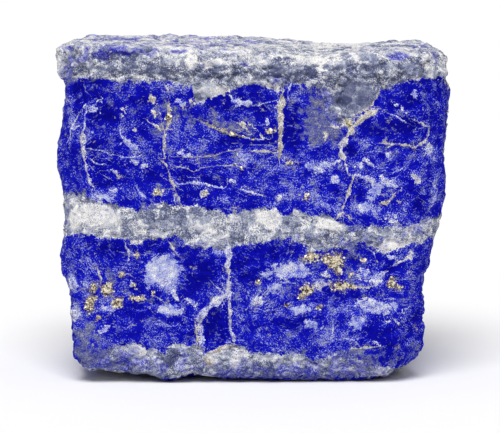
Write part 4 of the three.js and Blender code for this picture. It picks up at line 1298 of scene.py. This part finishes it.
def rough_lapis(colours):
    """Lazurite rock with calcite, broken: dull and sugary, so it spreads the light and hardly shines."""
    settings = {"IOR": 1.5, "Roughness": 0.7, "Specular IOR Level": 0.04}
    material, surface = new_material("broken_lapis", settings)
    n = StoneNodes(material.node_tree)
    blue, rock = blue_rock(n, colours)
    calcite = calcite_rock(n, colours, blue)
    vein_colour, spot_colour = veins_and_spots(n, colours)

    # Grains of one mineral lie in the other near an edge.
    blue_strays = n.total((1.0, n.crystals), low=1.2, high=1.3)
    pale_strays = n.total((1.0, n.crystals), low=-1.25, high=-1.35)
    strays = n.total((-1.3, blue_strays), (1.0, pale_strays))
    band = n.total(
        (1.0, n.field["calcite"]), (0.15, n.middle), (0.15, n.small), (0.15, n.fine), (0.3, strays),
        low=-0.08, high=0.12,
    )
    # Milky spots fade into the rock, and the others have sharp edges.
    soft = n.total((1.0, n.field["spot_stain"]), low=-0.6, high=-0.9)
    spot = n.total(
        (1.0, n.field["spot"]), (1.0, n.rag), (n.total((0.12, soft)), n.scratches), (0.12, n.small),
        low=-0.06, high=n.total((1.0, 0.06), (0.14, soft)),
    )
    dusty = n.total((1.8, n.field["dust"]), (0.4, n.other_dots), (0.3, n.small), low=0.9, high=1.3)
    dust = n.shades(n.total((1.0, n.dots), (0.5, n.crystals)), [(-0.6, colours.rust), (0.6, colours.dust)])
    colour = n.layers(
        rock, (band, calcite), (spot, spot_colour), (n.vein, vein_colour), (n.total((0.85, dusty)), dust)
    )
    # The crystals stand about 0.1 mm proud.
    height = n.total((0.5, n.dots), (0.3, n.fine), (0.5, n.crystals))
    bump = n.add("Bump", {"Height": height, "Strength": 0.5, "Distance": 0.1 * MM})
    material.node_tree.links.new(colour, surface.inputs["Base Color"])
    material.node_tree.links.new(bump, surface.inputs["Normal"])
    return material


def pyrite_metal(colours):
    """Pyrite, grown as small crystals and dulled: brassy, with a soft shine."""
    material, surface = new_material("dulled_pyrite", {"Metallic": 1.0, "Roughness": 0.6})
    n = MineralNodes(material.node_tree)
    # Tarnish comes in spots of 0.25 to 0.6 mm.
    tarnish = n.total((0.8, n.clouds(0.6)), (1.0, n.clouds(0.25, shift=4)))
    gold = n.shades(tarnish, [(-1.5, colours.rust), (0.1, colours.gold), (2.5, colours.bright)])
    material.node_tree.links.new(gold, surface.inputs["Base Color"])
    return material


# ---------------------------------------------------------------- pyrite


def crystal(rng, size):
    """The corners of a cube of about that size round its own middle, stretched, turned and worn."""
    corners = np.array([(i, j, k) for i in (-1, 1) for j in (-1, 1) for k in (-1, 1)]) / 2
    widths = size * rng.uniform(0.45, 1.3) * rng.uniform(0.8, 1.2, 3)
    turn = Matrix.Rotation(rng.uniform(0, 6.28), 3, Vector(rng.normal(0, 1, 3)).normalized())
    return (corners * widths + rng.normal(0, 0.08 * size, (8, 3))) @ np.array(turn).T


def make_pyrite(form, colours):
    """Small crystals of pyrite, half sunk in the stone."""
    stone = bpy.data.objects[STONE]
    tree = BVHTree.FromObject(stone, bpy.context.evaluated_depsgraph_get())
    rng = np.random.default_rng(form.seed)
    size = form.grain / MM
    points = []
    faces = []
    for (axis, end), marks in all_marks(form.seed).items():
        shift = FACE_MIDDLE if (axis, end) == FRONT else 0
        plane = [i for i in range(3) if i != axis]
        inward = Vector()
        inward[axis] = -1 if end else 1
        for across, up, wide, high in marks.pyrite:
            for _ in range(max(FEWEST_CRYSTALS, round(CRYSTAL_SHARE * wide * high / size**2))):
                place = np.array([across + shift, up]) + rng.normal(0, CLUSTER_SPREAD, 2) * (wide, high)
                start = Vector(cad_box[end])
                start[plane[0]], start[plane[1]] = place * MM
                hit = tree.ray_cast(start - inward * MM, inward)[0]
                if hit is None:
                    continue
                spot = np.array(hit) / MM
                # On the hidden sides pyrite grows in the blue rock only.
                if (axis, end) != FRONT and calcite_bands(spot[None], form.dip / MM)[0] > 0:
                    continue
                corners = crystal(rng, size)
                centre = spot + np.array(inward) * size * rng.uniform(0.0, 0.3)
                faces.extend([len(points) + i for i in face] for face in CRYSTAL_FACES)
                points.extend(centre + corners)
    low, high = [np.array(corner) / MM for corner in cad_box]
    points = np.clip(points, low, high)
    mesh = bpy.data.meshes.new(PYRITE)
    mesh.from_pydata((points * MM).tolist(), [], faces)
    mesh.materials.append(pyrite_metal(colours))
    grains = bpy.data.objects.new(PYRITE, mesh)
    bpy.context.scene.collection.objects.link(grains)
    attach(grains, "root")


# ---------------------------------------------------------------- stage


def matt_paper(colour):
    """Uncoated paper, rolled: quite dull, so it shows only the soft shadow."""
    settings = {"Base Color": (*colour, 1), "Roughness": 0.9, "Specular IOR Level": 0.1}
    return new_material("matt_paper", settings)[0]


def make_stage(studio):
    """The floor, the light from all round, the key light and the camera."""
    scene = bpy.context.scene
    bpy.ops.mesh.primitive_circle_add(vertices=96, radius=FLOOR_RADIUS, fill_type="NGON")
    floor = bpy.context.object
    floor.name = "floor"
    floor.data.materials.append(matt_paper(studio.floor))

    world = bpy.data.worlds.new("studio")
    world.use_nodes = True
    backdrop = world.node_tree.nodes["Background"]
    backdrop.inputs["Color"].default_value = (1, 1, 1, 1)
    # The surroundings light the stone softly but show as a white backdrop.
    seen = add_node(world.node_tree, "LightPath", output="Is Camera Ray")
    strength = add_node(world.node_tree, "MapRange", {"Value": seen, "To Min": studio.sky, "To Max": 1.0})
    world.node_tree.links.new(strength, backdrop.inputs["Strength"])
    scene.world = world

    sun = bpy.data.lights.new("key", "SUN")
    sun.energy = studio.key
    sun.angle = math.radians(KEY_WIDTH)
    key = bpy.data.objects.new("key", sun)
    key.rotation_euler = Vector(KEY_DIRECTION).to_track_quat("-Z", "Y").to_euler()
    scene.collection.objects.link(key)
    scene.view_settings.view_transform = "Standard"

    data = bpy.data.cameras.new("camera")
    data.lens = studio.lens
    data.clip_end = 50
    camera = bpy.data.objects.new("camera", data)
    across, face = CAMERA_AIM[0] * MM, CAMERA_AIM[1] * MM
    camera.location = (across, face - studio.distance, studio.height)
    look = Vector((across, face, studio.aim)) - camera.location
    camera.rotation_euler = look.to_track_quat("-Z", "Y").to_euler()
    scene.collection.objects.link(camera)
    scene.camera = camera


class LAPIS_OT_stage(bpy.types.Operator):
    """Makes the floor, the lights and the camera"""

    bl_idname = "lapis.stage"
    bl_label = "Stage"

    def execute(self, context):
        make_stage(context.scene.lapis_studio)
        return {"FINISHED"}


class LAPIS_OT_stone(bpy.types.Operator):
    """Makes the rough stone"""

    bl_idname = "lapis.stone"
    bl_label = "Rough stone"

    def execute(self, context):
        make_stone(context.scene.lapis_form, context.scene.lapis_colours)
        return {"FINISHED"}


class LAPIS_OT_pyrite(bpy.types.Operator):
    """Makes the pyrite grains in the rough stone"""

    bl_idname = "lapis.pyrite"
    bl_label = "Pyrite grains"

    def execute(self, context):
        make_pyrite(context.scene.lapis_form, context.scene.lapis_colours)
        return {"FINISHED"}


class LAPIS_PT_panel(bpy.types.Panel):
    """Lists the stone's sizes and colours and makes it"""

    bl_label = "Rough lapis lazuli"
    bl_space_type = "VIEW_3D"
    bl_region_type = "UI"
    bl_category = "Lapis"

    def draw(self, context):
        for name, group in GROUPS.items():
            box = self.layout.box()
            settings = getattr(context.scene, name)
            for key in group.__annotations__:
                box.prop(settings, key)
        for operator in OPERATORS:
            self.layout.operator(operator.bl_idname)


GROUPS = {"lapis_form": LapisForm, "lapis_colours": LapisColours, "lapis_studio": LapisStudio}
OPERATORS = (LAPIS_OT_stage, LAPIS_OT_stone, LAPIS_OT_pyrite)


def register():
    """Makes the classes and the scene's settings known."""
    for kind in (*GROUPS.values(), *OPERATORS, LAPIS_PT_panel):
        bpy.utils.register_class(kind)
    for name, group in GROUPS.items():
        setattr(bpy.types.Scene, name, bpy.props.PointerProperty(type=group))


def unregister():
    """Takes them away again."""
    for name in GROUPS:
        delattr(bpy.types.Scene, name)
    for kind in reversed((*GROUPS.values(), *OPERATORS, LAPIS_PT_panel)):
        bpy.utils.unregister_class(kind)


def main():
    """Builds the stage and the stone."""
    register()
    bpy.ops.lapis.stage()
    bpy.ops.lapis.stone()
    bpy.ops.lapis.pyrite()


if __name__ == "__main__":
    main()
